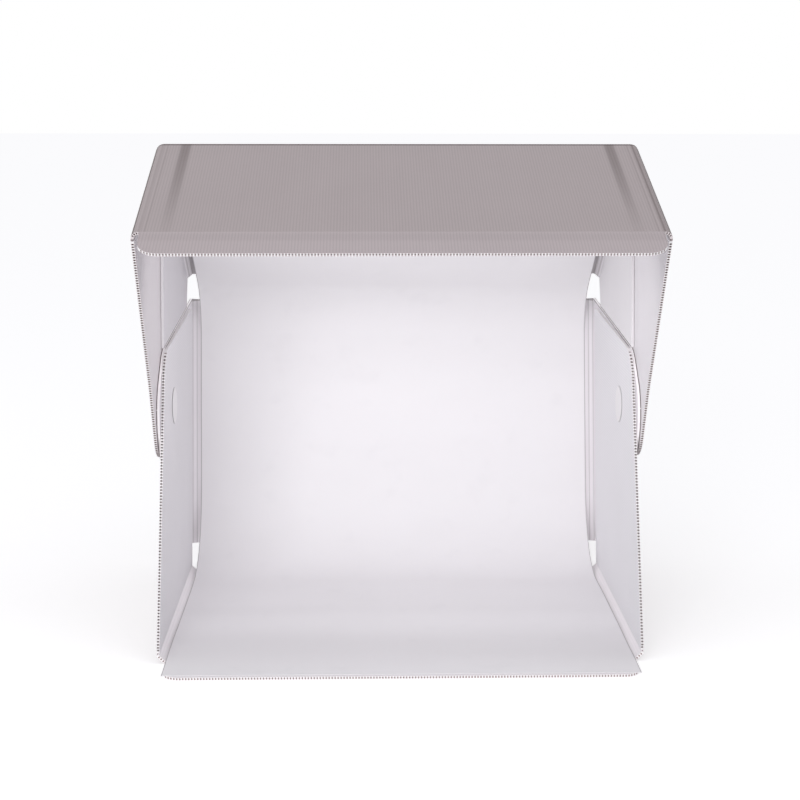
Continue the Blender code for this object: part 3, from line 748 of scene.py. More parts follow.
@dataclass(frozen=True)
class TwinWall:
    """Twin-wall sheet: two skins joined by ribs, with an open flute between each two ribs.

    The mark is the step of the stations on both sides of an outline's corner. A cut steeper
    than steep runs along the flutes. A cut is ragged where the sheet is room pitches long.
    """

    thick: float = 3.5 * MM
    pitch: float = 3.47 * MM
    rib: float = 1.55 * MM
    skin: float = 0.8 * MM
    sag: float = 0.06 * MM
    ragged: float = 0.12 * MM
    steep: float = 1.3
    mark: float = 0.05 * MM
    room: float = 20 / 3
    pressed_shut: bool = False

    def stations(self, outline: np.ndarray, extra: np.ndarray) -> np.ndarray:
        """Distances across the flutes at which the sheet changes.

        Both faces of each rib, the middle of each flute and each corner of the outline.

        Args:
            outline: Points as (along, across).
            extra: Further distances.

        Returns:
            The distances in rising order.
        """
        low, high = outline[:, 1].min(), outline[:, 1].max()
        ribs = np.arange(math.floor(low / self.pitch), math.ceil(high / self.pitch) + 1) * self.pitch
        places = np.concatenate((ribs - self.rib / 2, ribs + self.rib / 2, ribs + self.pitch / 2,
                                 outline[:, 1] - self.mark, outline[:, 1] + self.mark, extra,
                                 (low + self.rib, high - self.rib)))
        places = np.sort(places[(places > low + self.mark) & (places < high - self.mark)])
        places = places[np.concatenate(((True,), np.diff(places) > self.mark / 2))]
        return np.concatenate(((low + self.mark / 50,), places, (high - self.mark / 50,)))

    @staticmethod
    def extent(outline: np.ndarray, across: np.ndarray) -> tuple[np.ndarray, np.ndarray]:
        """Where lines along the flutes enter and leave an outline.

        Each edge is crossed at a place in proportion to its rise, and the first and the last
        crossing count.

        Args:
            outline: Points as (along, across).
            across: Distances across the flutes.

        Returns:
            The first and the last crossing of each line.
        """
        ahead = np.roll(outline, -1, axis=0)
        low = np.minimum(outline[:, 1], ahead[:, 1])
        high = np.maximum(outline[:, 1], ahead[:, 1])
        crosses = (low[None] <= across[:, None]) & (high[None] > across[:, None])
        rise = ahead[:, 1] - outline[:, 1]
        share = (across[:, None] - outline[:, 1]) / np.where(rise == 0, 1, rise)
        place = outline[:, 0] + share * (ahead[:, 0] - outline[:, 0])
        return np.where(crosses, place, np.inf).min(1), np.where(crosses, place, -np.inf).max(1)

    def solid_runs(self, across: np.ndarray, starts: np.ndarray,
                   ends: np.ndarray) -> tuple[np.ndarray, np.ndarray]:
        """Which steps between stations are solid, and which of them are sealed.

        Ribs and the two side edges are solid. A cut that runs along the flutes is sealed, and so
        is a narrow step beside it.

        Args:
            across: The stations.
            starts: First end of the sheet at each station.
            ends: Last end of the sheet at each station.

        Returns:
            True for each solid step, and true for each sealed one. Pressed shut, all are both.
        """
        middle = (across[1:] + across[:-1]) / 2
        width = np.diff(across)
        to_rib = np.abs(middle / self.pitch - np.round(middle / self.pitch)) * self.pitch
        is_edge = (middle < across[0] + self.rib) | (middle > across[-1] - self.rib)
        slope = np.maximum(np.abs(np.diff(starts)), np.abs(np.diff(ends))) / width
        is_step = width < self.mark * 2.5
        sealed = ((slope > self.steep) & ~is_step) | self.pressed_shut
        sealed |= is_step & (np.convolve(sealed, (1, 1, 1), "same") > 0)
        return (to_rib < self.rib / 2) | is_edge | sealed, sealed

    def build(self, name: str, plane: Plane, outlines: list[np.ndarray], band: EdgeBand | None = None,
              flat_outlines: int = 0) -> bpy.types.Object:
        """Build a sheet from one or more outlines.

        Args:
            name: Name of the piece.
            plane: Where the sheet lies.
            outlines: Outlines as (along, across), each one closed shell.
            band: The band that turns in along the side edges.
            flat_outlines: How many outlines, counted from the first, stay out of the band.

        Returns:
            The sheet's object.
        """
        chance = np.random.default_rng(len(name) * 7 + 3)
        points, faces, kinds, maps = [], [], [], []
        count = 0
        for index, outline in enumerate(outlines):
            bending = band if index >= flat_outlines else None
            shell = self.shell(outline, bending, chance)
            points.append(shell[0])
            faces.append(shell[1] + count)
            kinds.append(shell[2])
            maps.append(shell[3])
            count += len(shell[0])
        local = np.concatenate(points)
        flat = local[:, :1] * plane.across + local[:, 1:2] * plane.along
        world = plane.origin + flat + local[:, 2:] * plane.out
        quads = np.concatenate(faces)
        if not plane.is_right_handed():
            quads = quads[:, ::-1]
        thing = make_mesh(name, world, quads)
        thing.data.attributes.new("skin_face", "FLOAT", "FACE").data.foreach_set(
            "value", np.concatenate(kinds).astype(np.float32))
        give_uv(thing, np.concatenate(maps))
        return thing

    def shell(self, outline: np.ndarray, band: EdgeBand | None,
              chance: np.random.Generator) -> tuple[np.ndarray, np.ndarray, np.ndarray, np.ndarray]:
        """One closed shell with its flutes.

        Each station has four levels at both of its ends: outer face, under the outer skin,
        over the inner skin and inner face. The skins sag between ribs by a parabola. A cut
        that is pressed shut shows a dark line along its outer skin.

        Args:
            outline: Points as (along, across).
            band: The band that turns in along the side edges.
            chance: Random source for the ragged cut.

        Returns:
            Points as (across, along, out), faces, the kind of each face, and the UV values.
        """
        across = self.stations(outline, np.zeros(0) if band is None else band.stations())
        starts, ends = self.extent(outline, across)
        solid, sealed = self.solid_runs(across, starts, ends)
        has_room = (ends - starts) > self.room * self.pitch
        starts = starts + np.where(has_room, chance.uniform(0, self.ragged, len(across)), 0)
        ends = ends - np.where(has_room, chance.uniform(0, self.ragged, len(across)), 0)

        to_rib = np.abs(across / self.pitch - np.round(across / self.pitch)) * self.pitch - self.rib / 2
        share = np.clip(to_rib / ((self.pitch - self.rib) / 2), 0, 1)
        sag = self.sag * (1 - (1 - share) ** 2)
        levels = np.stack((-sag, np.full_like(sag, -self.skin), np.full_like(sag, self.skin - self.thick),
                           sag - self.thick), axis=1)
        if band is None:
            wide, height = across, np.zeros_like(across)
            tilt, rise = np.zeros_like(across), np.ones_like(across)
        else:
            wide, height, tilt, rise = band.bend(across)
        place_x = wide[:, None] + tilt[:, None] * levels
        place_n = height[:, None] + rise[:, None] * levels
        cells = np.empty((len(across), 2, 4, 3))
        cells[..., 0] = place_x[:, None]
        cells[:, 0, :, 1] = starts[:, None]
        cells[:, 1, :, 1] = ends[:, None]
        cells[..., 2] = place_n[:, None]
        maps = np.empty((len(across), 2, 4, 2))
        maps[..., 0] = (across / self.pitch)[:, None, None]
        maps[..., 1] = cells[..., 1]

        first = np.arange(len(across) - 1) * 8
        void = first[~solid]
        rib = first[solid]
        open_rib = first[solid & ~sealed]
        seal = first[sealed]
        opens = first[1:][solid[:-1] & ~solid[1:]]
        closes = first[1:][~solid[:-1] & solid[1:]]
        last = np.array([8 * (len(across) - 1)])
        origin = np.array([0])
        seam = SkinFace.FLUTE if self.pressed_shut else SkinFace.CUT
        groups = (
            (first, (0, 8, 12, 4), SkinFace.OUTER), (first, (3, 7, 15, 11), SkinFace.INNER),
            (void, (1, 5, 13, 9), SkinFace.FLUTE), (void, (2, 10, 14, 6), SkinFace.FLUTE),
            (void, (0, 1, 9, 8), SkinFace.RIM), (void, (2, 3, 11, 10), SkinFace.RIM),
            (void, (4, 12, 13, 5), SkinFace.RIM), (void, (6, 14, 15, 7), SkinFace.RIM),
            (open_rib, (0, 1, 9, 8), SkinFace.CUT), (open_rib, (4, 12, 13, 5), SkinFace.CUT),
            (seal, (0, 1, 9, 8), seam), (seal, (4, 12, 13, 5), seam),
            (rib, (2, 3, 11, 10), SkinFace.CUT), (rib, (6, 14, 15, 7), SkinFace.CUT),
            (rib, (1, 2, 10, 9), SkinFace.CUT), (rib, (5, 13, 14, 6), SkinFace.CUT),
            (opens, (2, 6, 5, 1), SkinFace.FLUTE), (closes, (1, 5, 6, 2), SkinFace.FLUTE),
            (origin, (0, 4, 5, 1), SkinFace.CUT), (origin, (1, 5, 6, 2), SkinFace.CUT),
            (origin, (2, 6, 7, 3), SkinFace.CUT), (last, (1, 5, 4, 0), SkinFace.CUT),
            (last, (2, 6, 5, 1), SkinFace.CUT), (last, (3, 7, 6, 2), SkinFace.CUT))
        faces = np.concatenate([start[:, None] + np.array(corners) for start, corners, _ in groups])
        kinds = np.concatenate([np.full(len(start), kind.value) for start, _, kind in groups])
        return cells.reshape(-1, 3), faces, kinds, maps.reshape(-1, 2)


@dataclass(frozen=True)
class Crease:
    """A crushed fold between two panels, as a thin strip between two bodies.

    The strip's outer face follows a Bezier curve from start over control to end, and is
    carried along run. Its outer face sinks in and out with the crushed flutes by a cosine.
    """

    name: str
    start: np.ndarray
    control: np.ndarray
    end: np.ndarray
    run: np.ndarray
    inside: np.ndarray
    bodies: tuple[str, str]
    thick: float = 1.1 * MM
    crush: float = 0.12 * MM
    pitch: float = 3.47 * MM
    across_points: int = 7
    rows_per_flute: int = 4
    plain_rows: int = 12
    sharp_degrees: float = 50.0

    def build(self, fluted: bool) -> bpy.types.Object:
        """Build the strip.

        Args:
            fluted: Whether the flutes cross the fold, so that it shows their crushed walls.

        Returns:
            The strip's object.
        """
        share = np.linspace(0, 1, self.across_points)[:, None]
        outer = (1 - share) ** 2 * self.start + 2 * share * (1 - share) * self.control + share ** 2 * self.end
        tangent = 2 * (1 - share) * (self.control - self.start) + 2 * share * (self.end - self.control)
        normal = np.cross(tangent, unit(self.run))
        normal /= np.linalg.norm(normal, axis=1, keepdims=True)
        toward = np.sign(np.sum(normal * (self.inside - outer), axis=1))[:, None]
        normal = normal * toward
        ring = np.concatenate((outer, (outer + normal * self.thick)[::-1]))
        inward = np.concatenate((normal, np.zeros_like(normal)))
        length = float(np.linalg.norm(self.run))
        rows = max(2, int(length / (self.pitch / self.rows_per_flute)) if fluted else self.plain_rows)
        along = np.linspace(0, 1, rows)[:, None, None]
        wave = (0.5 - 0.5 * np.cos(2 * np.pi * along * length / self.pitch)) * self.crush if fluted else 0.0
        points = ring[None] + along * self.run + inward[None] * wave
        faces = closed_tube_faces(rows, len(ring))
        thing = make_closed_mesh(self.name, points.reshape(-1, 3), faces, self.sharp_degrees)
        give_uv(thing, np.repeat(along.reshape(-1) * length / self.pitch, len(ring))[:, None] * (1.0, 0.0))
        tuple(self.start)
        tuple(self.end)
        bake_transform(thing)
        return thing


def closed_tube_faces(rows: int, ring: int) -> np.ndarray:
    """Faces of a tube of rows rings, with both ends closed by strips of quads.

    Args:
        rows: How many rings.
        ring: Points in each ring, an even number.

    Returns:
        The faces.
    """
    row, column = np.meshgrid(np.arange(rows - 1), np.arange(ring), indexing="ij")
    ahead = (column + 1) % ring
    walls = np.stack((row * ring + column, row * ring + ahead, (row + 1) * ring + ahead,
                      (row + 1) * ring + column), axis=-1).reshape(-1, 4)
    step = np.arange(ring // 2 - 1)
    cap = np.stack((step, ring - 1 - step, ring - 2 - step, step + 1), axis=-1)
    return np.concatenate((walls, cap, cap[:, ::-1] + (rows - 1) * ring))


def make_closed_mesh(name: str, points: np.ndarray, faces: np.ndarray,
                     smooth_angle: float) -> bpy.types.Object:
    """A closed mesh object at the origin with its faces pointing out.

    Its volume is the sum of the signed tetrahedra from the origin to each triangle, and is
    below zero where the mesh is inside out.

    Args:
        name: Name of the piece.
        points: Vertex positions, one row each.
        faces: Vertex numbers, one face a row.
        smooth_angle: Degrees above which an edge stays sharp.

    Returns:
        The new object.
    """
    thing = make_mesh(name, points, faces, smooth_angle)
    mesh = thing.data
    mesh.calc_loop_triangles()
    corners = np.empty(len(mesh.loop_triangles) * 3, np.int32)
    mesh.loop_triangles.foreach_get("vertices", corners)
    places = np.empty(len(mesh.vertices) * 3)
    mesh.vertices.foreach_get("co", places)
    triangles = places.reshape(-1, 3)[corners.reshape(-1, 3)]
    facing = np.cross(triangles[:, 1], triangles[:, 2])
    if np.einsum("ij,ij->i", triangles[:, 0], facing).sum() < 0:
        mesh.flip_normals()
    return thing


@dataclass
class Sizes:
    """Sizes that several sub-assemblies share."""

    width: float = 600 * MM
    sheet: float = 3.5 * MM
    gap: float = 0.3 * MM
    band: float = 9 * MM
    slot: float = 0.3 * MM
    relief_base: float = 48 * MM
    relief_back_low: float = 29 * MM
    relief_back_high: float = 1.5 * MM
    relief_roof: float = 74 * MM
    relief_depth: float = 6 * MM
    pad_thick: float = 1.2 * MM

    @property
    def outer_layer(self) -> float:
        """Outer face of the top flaps."""
        return self.width / 2

    @property
    def middle_layer(self) -> float:
        """Outer face of the roof and back wings."""
        return self.outer_layer - self.sheet - self.gap

    @property
    def inner_layer(self) -> float:
        """Outer face of the base flaps."""
        return self.middle_layer - self.sheet - self.gap

    @property
    def flap_start(self) -> float:
        """Distance of a flap's creased edge from the outer face of its panel."""
        return self.band + self.sheet * math.sin(math.pi / 4) + self.gap

    def inset(self, before: np.ndarray, fold: np.ndarray, after: np.ndarray) -> float:
        """How far a square panel end stays from its folding line."""
        opening = math.acos(float(unit(before - fold) @ unit(after - fold)))
        return self.sheet / math.tan(opening / 2) + self.slot / 2


def dress(thing: bpy.types.Object, material: bpy.types.Material) -> None:
    """Give a piece its material, and log it."""
    thing.data.materials.clear()
    thing.data.materials.append(material)
    LOG.info("made %s with %d faces", thing.name, len(thing.data.polygons))


def node_box(node: str) -> tuple[np.ndarray, np.ndarray]:
    """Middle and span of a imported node's box at rest."""
    low, high = (np.array(corner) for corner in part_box(node))
    return (low + high) / 2, high - low


@dataclass
class FoldedShell:
    """Visor, top, roof, back and base of the strip, with their living hinges.

    The shades are painted shade: the shadows of the light bars behind the top, the lines of the
    creased bands, the darker rims, and the shade at the folds, the ridge and the strips beside the
    bands. Their places are distances from the edge or fold that they follow.
    """

    sizes: Sizes
    profile: Profile
    wall: TwinWall = field(default_factory=TwinWall)
    visor_side_inset: float = 1 * MM
    visor_taper: float = 2 * MM
    visor_corner: float = 25 * MM
    top_rear_corner: float = 16 * MM
    lip_side_inset: float = 3 * MM
    lip_corner: float = 20 * MM
    ridge_side_inset: float = 1 * MM
    fold_control_share: float = 0.25
    visor_fold_place: float = 11 * MM
    visor_fold_shade: Shade = Shade(3 * MM, 9 * MM, 0.07)
    bar_shift: float = 6 * MM
    bar_fade: float = 60 * MM
    bar_shade: Shade = Shade(3 * MM, 6 * MM, 0.46)
    top_crease_places: tuple[float, ...] = (1 * MM, 7 * MM)
    top_crease_shade: Shade = Shade(0.5 * MM, 1 * MM, 0.13)
    top_rim_shade: Shade = Shade(2 * MM, 2.6 * MM, 0.85)
    far_band_place: float = 5 * MM
    far_band_shade: Shade = Shade(5 * MM, 2 * MM, 0.22)
    far_crease_place: float = 9 * MM
    far_crease_shade: Shade = Shade(0.4 * MM, 1 * MM, 0.3)
    ridge_shade: Shade = Shade(4.6 * MM, 2.4 * MM, 0.6)
    roof_crease_places: tuple[float, ...] = (0.5 * MM, 5 * MM)
    roof_crease_shade: Shade = Shade(0.6 * MM, 0.8 * MM, 0.3)
    roof_strip_place: float = 7 * MM
    roof_strip_shade: Shade = Shade(3 * MM, 10 * MM, 0.42)
    back_crease_places: tuple[float, ...] = (1.5 * MM, 7 * MM)
    back_crease_shade: Shade = Shade(0.3 * MM, 0.7 * MM, 0.3)
    back_tip_shade: Shade = Shade(1 * MM, 1.5 * MM, 0.55)

    def build(self) -> None:
        """Build the five panels and the folds between them."""
        self.build_visor()
        self.build_top()
        self.build_roof()
        self.build_back()
        self.build_base()
        self.build_folds()

    def add(self, name: str, node: str, plane: Plane, outlines: list[np.ndarray], body: str,
            finish: SheetFinish, band: EdgeBand | None = None, flat_outlines: int = 0) -> None:
        """Build one sheet, put it in its node's place and dress it."""
        thing = self.wall.build(name, plane, outlines, band, flat_outlines)
        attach(thing, body)
        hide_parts(node)
        dress(thing, finish.material())

    def panel(self, before: np.ndarray | None, start: np.ndarray, end: np.ndarray,
              after: np.ndarray | None) -> tuple[Plane, float, float, float]:
        """Where the sheet of a panel lies between two lines of the side view.

        Args:
            before: The folding line before the start, or none where the start is a free edge.
            start: Line where the panel starts.
            end: Line where the panel ends.
            after: The folding line after the end, or none where the end is a free edge.

        Returns:
            The plane, where the sheet starts and ends along it, and the panel's length.
        """
        length = float(np.linalg.norm(end - start))
        first = 0.0 if before is None else self.sizes.inset(before, start, end)
        last = length if after is None else length - self.sizes.inset(start, end, after)
        return Plane.strip(start, end), first, last, length

    def sloping_band(self, layer: float) -> tuple[EdgeBand, float]:
        """The creased band of the panel that carries a layer, and the X of its relief cuts."""
        band = EdgeBand.sloping(layer - self.sizes.band, self.sizes.band)
        return band, band.edge - self.sizes.relief_depth

    def build_visor(self) -> None:
        """The front strip, with round front corners and open flutes along its edge."""
        shape = self.profile
        plane, start, end, _ = self.panel(None, shape.visor_front, shape.top_front, shape.ridge)
        rear_x = self.sizes.outer_layer - self.sizes.band - self.visor_side_inset
        front_x = rear_x - self.visor_taper
        outline = rounded(mirrored([((start, front_x), self.visor_corner), ((end, rear_x), 0)]))
        # Painted shade: a soft dark band across the visor just in front of its fold.
        fold = ShadeBand(1, shape.top_front[0] - self.visor_fold_place, self.visor_fold_shade)
        finish = SheetFinish("visor_sheet", outer=srgb(192, 181, 183), rim=srgb(204, 193, 194),
                             flute=srgb(236, 228, 228), bands=(fold,))
        self.add("visor_sheet", "visor", plane, [outline], "visor", finish)

    def build_top(self) -> None:
        """The top, whose band turns down in a quarter round and whose rear corners are round."""
        shape = self.profile
        plane, start, end, _ = self.panel(shape.visor_front, shape.top_front, shape.ridge, shape.back_top)
        band = EdgeBand.quarter(self.sizes.outer_layer, self.sizes.band)
        outline = rounded(mirrored([((start, band.end), 0), ((end, band.end), self.top_rear_corner)]))
        finish = SheetFinish("top_sheet", cut=srgb(226, 218, 219), rim=srgb(206, 197, 198),
                             flute=srgb(172, 156, 155), bands=self.top_shades(band))
        self.add("top_sheet", "top_panel", plane, [outline], "top", finish, band)

    def top_shades(self, band: EdgeBand) -> tuple[ShadeBand, ...]:
        """Painted shades of the top: the shadows of the two side light bars, the creases, the rims, the
        right-hand edge and the ridge.
        """
        edge = self.sizes.outer_layer
        front_y, ridge_y = self.profile.top_front[0], self.profile.ridge[0]
        bars = []
        for side in Side:
            bar_x = node_box(f"light_channel_{side.word}")[0][0]
            bars.append(ShadeBand(0, bar_x - side.value * self.bar_shift, self.bar_shade,
                                  front_y - self.bar_fade, ridge_y))
        places = tuple(band.start - place for place in self.top_crease_places)
        return (*bars, *both_sides(places, self.top_crease_shade), *both_sides((edge,), self.top_rim_shade),
                ShadeBand(0, edge - self.far_band_place, self.far_band_shade),
                ShadeBand(0, edge - self.far_crease_place, self.far_crease_shade),
                ShadeBand(1, ridge_y, self.ridge_shade))

    def build_roof(self) -> None:
        """The sloping sheet behind the ridge, cut back beside its lower end."""
        shape = self.profile
        plane, start, end, length = self.panel(shape.top_front, shape.ridge, shape.back_top, shape.base_rear)
        band, relief_x = self.sloping_band(self.sizes.middle_layer)
        low = length - self.sizes.relief_roof
        outline = rounded(mirrored([((start, band.end), 0), ((low, band.end), 0), ((low, relief_x), 0),
                                    ((end, relief_x), 0)]))
        # Painted shade: thin lines along the creased bands, and darker strips beside them.
        places = tuple(band.start + place for place in self.roof_crease_places)
        lines = both_sides(places, self.roof_crease_shade)
        strips = both_sides((band.start - self.roof_strip_place,), self.roof_strip_shade)
        finish = SheetFinish("roof_sheet", bands=lines + strips)
        self.add("roof_sheet", "roof_panel", plane, [outline], "roof", finish, band)

    def build_back(self) -> None:
        """The leaning back sheet, cut back beside both of its ends."""
        shape, high = self.profile, self.sizes.relief_back_high
        plane, start, end, length = self.panel(shape.ridge, shape.back_top, shape.base_rear, shape.base_front)
        band, relief_x = self.sloping_band(self.sizes.middle_layer)
        low = length - self.sizes.relief_back_low
        outline = rounded(mirrored([((start, relief_x), 0), ((high, relief_x), 0), ((high, band.end), 0),
                                    ((low, band.end), 0), ((low, relief_x), 0), ((end, relief_x), 0)]))
        # Painted shade: lines beside the creased bands and a band at the upper tip.
        places = tuple(band.start + place for place in self.back_crease_places)
        lines = both_sides(places, self.back_crease_shade)
        tip = ShadeBand(2, shape.back_top[1] - high, self.back_tip_shade)
        # Painted shade: darker cut ends, rims and flutes, for the dark outlines along the back's cut edges.
        edge = srgb(160, 147, 145)
        finish = SheetFinish("back_sheet", cut=edge, rim=edge, flute=srgb(112, 96, 92), glow=0.16,
                             bands=(*lines, tip))
        self.add("back_sheet", "back_panel", plane, [outline], "back", finish, band)

    def build_base(self) -> None:
        """The base sheet with its lip, which stays flat beside the bands."""
        shape, relief = self.profile, self.sizes.relief_base
        plane, start, end, _ = self.panel(shape.back_top, shape.base_rear, shape.lip_front, None)
        band, relief_x = self.sloping_band(self.sizes.inner_layer)
        mouth = float(np.linalg.norm(shape.base_front - shape.base_rear))
        lip_x = band.edge - self.lip_side_inset
        main = rounded(mirrored([((start, relief_x), 0), ((relief, relief_x), 0), ((relief, band.start), 0),
                                 ((mouth, band.start), 0), ((mouth + self.lip_side_inset, lip_x), 0),
                                 ((end, lip_x), self.lip_corner)]))
        strips = []
        for side in Side:
            inner, outer = side.value * band.start, side.value * band.end
            strips.append(np.array(((relief, inner), (relief, outer), (mouth, outer), (mouth, inner))))
        finish = SheetFinish("base_sheet", inner=srgb(222, 218, 221), glow=0.2, rim=srgb(214, 204, 204),
                             flute=srgb(172, 152, 148))
        self.add("base_sheet", "base_panel", plane, [main] + strips, "base", finish, band, 1)

    def build_folds(self) -> None:
        """The four folds across the strip, where the flutes are crushed."""
        shape, sizes = self.profile, self.sizes
        edge_x = sizes.outer_layer - sizes.band
        relief_x = sizes.middle_layer - sizes.band - sizes.relief_depth
        base_x = sizes.inner_layer - sizes.band - sizes.relief_depth
        pale = SheetFinish("pale_crease", outer=srgb(192, 182, 185), rib_contrast=0.05)
        # Painted shade: the ridge, rear and heel folds take the dark finish.
        dark = SheetFinish("dark_crease", outer=srgb(126, 110, 108), rib_contrast=0.14)
        folds = (("visor_crease", (shape.visor_front, shape.top_front, shape.ridge),
                  edge_x - self.visor_side_inset, ("visor", "top"), pale),
                 ("ridge_crease", (shape.top_front, shape.ridge, shape.back_top),
                  edge_x - self.ridge_side_inset, ("top", "roof"), dark),
                 ("rear_crease", (shape.ridge, shape.back_top, shape.base_rear),
                  relief_x, ("roof", "back"), dark),
                 ("heel_crease", (shape.back_top, shape.base_rear, shape.base_front),
                  base_x, ("back", "base"), dark))
        middle = np.array((0.0, *((shape.ridge + shape.base_front) / 2)))
        for name, (before, fold, after), half, bodies, finish in folds:
            inset = sizes.inset(before, fold, after)
            start = fold + unit(before - fold) * inset
            end = fold + unit(after - fold) * inset
            control = fold + ((start + end) / 2 - fold) * self.fold_control_share
            spread = [np.array((-half, *point)) for point in (start, control, end)]
            crease = Crease(name, *spread, run=np.array((2 * half, 0.0, 0.0)), inside=middle, bodies=bodies)
            dress(crease.build(True), replace(finish, name=name).material())


@dataclass(frozen=True)
class Flap:
    """One kind of side flap, the panel that carries it, and its finishes on both sides.

    The fold runs from start to end in the side view. The crease glows by crease_glow, as painted
    light, and crease_bands are painted shade on it. The right-hand finish of most flaps is the left
    one repainted for how the light falls there: a paler inner skin, and on the roof wing a darker cut.
    """

    name: str
    carrier: str
    corners: list[Corner]
    layer: float
    fold: tuple[np.ndarray, np.ndarray]
    left: SheetFinish
    right: SheetFinish
    wall: TwinWall = TwinWall()
    crease_glow: float = 0.0
    crease_bands: tuple[ShadeBand, ...] = ()

    def finish(self, side: Side) -> SheetFinish:
        """The finish on a side."""
        return self.right if side is Side.RIGHT else self.left


@dataclass
class SideFlaps:
    """The four flaps of each side, in three layers, and the creases that carry them."""

    sizes: Sizes
    profile: Profile
    magnet_centre: tuple[float, float] = (207 * MM, 274 * MM)
    top_tip_ahead: float = 103 * MM
    top_tip_below: float = 57 * MM
    top_hollow: float = 7.3 * MM
    top_hollow_share: float = 0.65
    top_heel_depth: float = 166 * MM
    top_rear_lean: float = 44 * MM
    top_tip_round: float = 50 * MM
    top_heel_round: float = 34 * MM
    top_rear_round: float = 12 * MM
    wing_top_drop: float = 26 * MM
    wing_reach: float = 404 * MM
    wing_tip_height: float = 292 * MM
    wing_tip_bulge: float = 11.5 * MM
    wing_chin_height: float = 228 * MM
    wing_chin_reach: float = 384 * MM
    wing_top_round: float = 66 * MM
    wing_tip_round: float = 60 * MM
    wing_chin_round: float = 30 * MM
    wing_foot_rise: float = 9 * MM
    wing_rear_step: float = 17 * MM
    wing_seam: float = 2 * MM
    seam_lean: float = math.radians(8.3)
    base_height: float = 370 * MM
    base_set_back: float = 132 * MM
    base_nose_drop: float = 16 * MM
    base_nose_round: float = 52 * MM
    base_rear_clear: float = 30 * MM
    base_rear_round: float = 9 * MM
    base_toe: float = 8 * MM
    crease_thick: float = 2.2 * MM
    crease_bulge: float = 0.05 * MM
    crease_end: float = 1 * MM
    edge_tolerance: float = 0.5 * MM
    seam_shade: Shade = Shade(0.6 * MM, 1 * MM, 0.8)
    lip_shade: Shade = Shade(1.2 * MM, 1 * MM, 0.85)
    cover_clear: float = 0.3 * MM
    cover_shade: Shade = Shade(0.0, 1.1 * MM, 0.32)
    tip_shade: Shade = Shade(2 * MM, 1.5 * MM, 0.55)

    def top_flap(self) -> list[Corner]:
        """Corners of the top's flap in the side view: an apron with a rounded tip."""
        shape, start = self.profile, self.sizes.flap_start
        length = float(np.linalg.norm(shape.ridge - shape.top_front))
        front = below(shape.top_front, shape.ridge, start)
        rear = below(shape.top_front, shape.ridge, start, length)
        tip = shape.base_front + self.magnet_centre - (self.top_tip_ahead, self.top_tip_below)
        reach = float(np.linalg.norm(tip - front))
        middle = below(front, tip, -self.top_hollow, self.top_hollow_share * reach)
        heel = tip + (self.top_heel_depth, self.top_heel_round)
        shoulder = rear + (self.top_rear_lean, -self.top_rear_lean)
        return [(front, 0), (middle, length), (tip, self.top_tip_round), (heel, self.top_heel_round),
                (shoulder, self.top_heel_round), (rear, self.top_rear_round)]

    def wing_top_line(self) -> tuple[np.ndarray, np.ndarray]:
        """Start and direction of the back wing's upper edge."""
        shape = self.profile
        start = below(shape.back_top, shape.base_rear, self.sizes.flap_start, self.sizes.relief_back_high)
        nose = shape.back_top - (self.wing_reach, self.wing_top_drop)
        return start, unit(nose - start)

    def back_wing(self) -> list[Corner]:
        """Corners of the back's flap: a tongue with a curved nose."""
        shape = self.profile
        start, run = self.wing_top_line()
        length = float(np.linalg.norm(shape.base_rear - shape.back_top))
        foot_along = length - self.sizes.relief_back_low
        foot = below(shape.back_top, shape.base_rear, self.sizes.flap_start, foot_along)
        nose_y = shape.back_top[0] - self.wing_reach
        high = crossing(start, run, np.array((nose_y, 0.0)), np.array((0.0, 1.0)))
        tip = np.array((nose_y - self.wing_tip_bulge, self.wing_tip_height))
        chin = np.array((shape.back_top[0] - self.wing_chin_reach, self.wing_chin_height))
        rise = np.array((-self.wing_foot_rise, self.wing_foot_rise))
        return [(start, 0), (high - run * self.wing_top_round, self.wing_top_round),
                (tip, self.wing_tip_round), (chin, self.wing_chin_round), (foot + rise, 0), (foot, 0)]

    def roof_wing(self) -> list[Corner]:
        """Corners of the roof's flap, which fills the wedge over the back wing."""
        shape, start = self.profile, self.sizes.flap_start
        seam_start, seam_run = self.wing_top_line()
        seam_start = seam_start + (0.0, self.wing_seam)
        upper = crossing(below(shape.ridge, shape.back_top, start), unit(shape.back_top - shape.ridge),
                         below(shape.top_front, shape.ridge, start), unit(shape.ridge - shape.top_front))
        length = float(np.linalg.norm(shape.back_top - shape.ridge))
        lower = below(shape.ridge, shape.back_top, start, length - self.sizes.relief_roof)
        down = np.array((-math.sin(self.seam_lean), -math.cos(self.seam_lean)))
        front = crossing(upper, down, seam_start, seam_run)
        rear = crossing(lower + seam_run * self.wing_rear_step, np.array((0.0, -1.0)), seam_start, seam_run)
        return [(upper, 0), (front, 0), (rear, 0), (lower, 0)]

    def base_flap(self) -> list[Corner]:
        """Corners of the base's flap, with a sloping front and a round nose."""
        shape, foot = self.profile, self.sizes.flap_start
        front = shape.base_front[0]
        lean = unit(shape.back_top - shape.base_rear)
        toe = np.array((front + self.base_toe / 2, foot))
        shin = np.array((front + self.base_toe * self.base_set_back / self.base_height, foot + self.base_toe))
        nose = np.array((front + self.base_set_back, self.base_height - self.base_nose_drop))
        rear_foot = np.array((shape.base_rear[0] - self.sizes.relief_base, foot))
        top = self.base_height
        rear_top = rear_foot + lean * (top - foot) / lean[1]
        back_y = shape.base_rear[0] + top * lean[0] / lean[1]
        rear_top[0] = min(rear_top[0], back_y - self.base_rear_clear)
        return [(toe, 0), (rear_foot, 0), (rear_top, self.base_rear_round), (nose, self.base_nose_round),
                (shin, 0)]

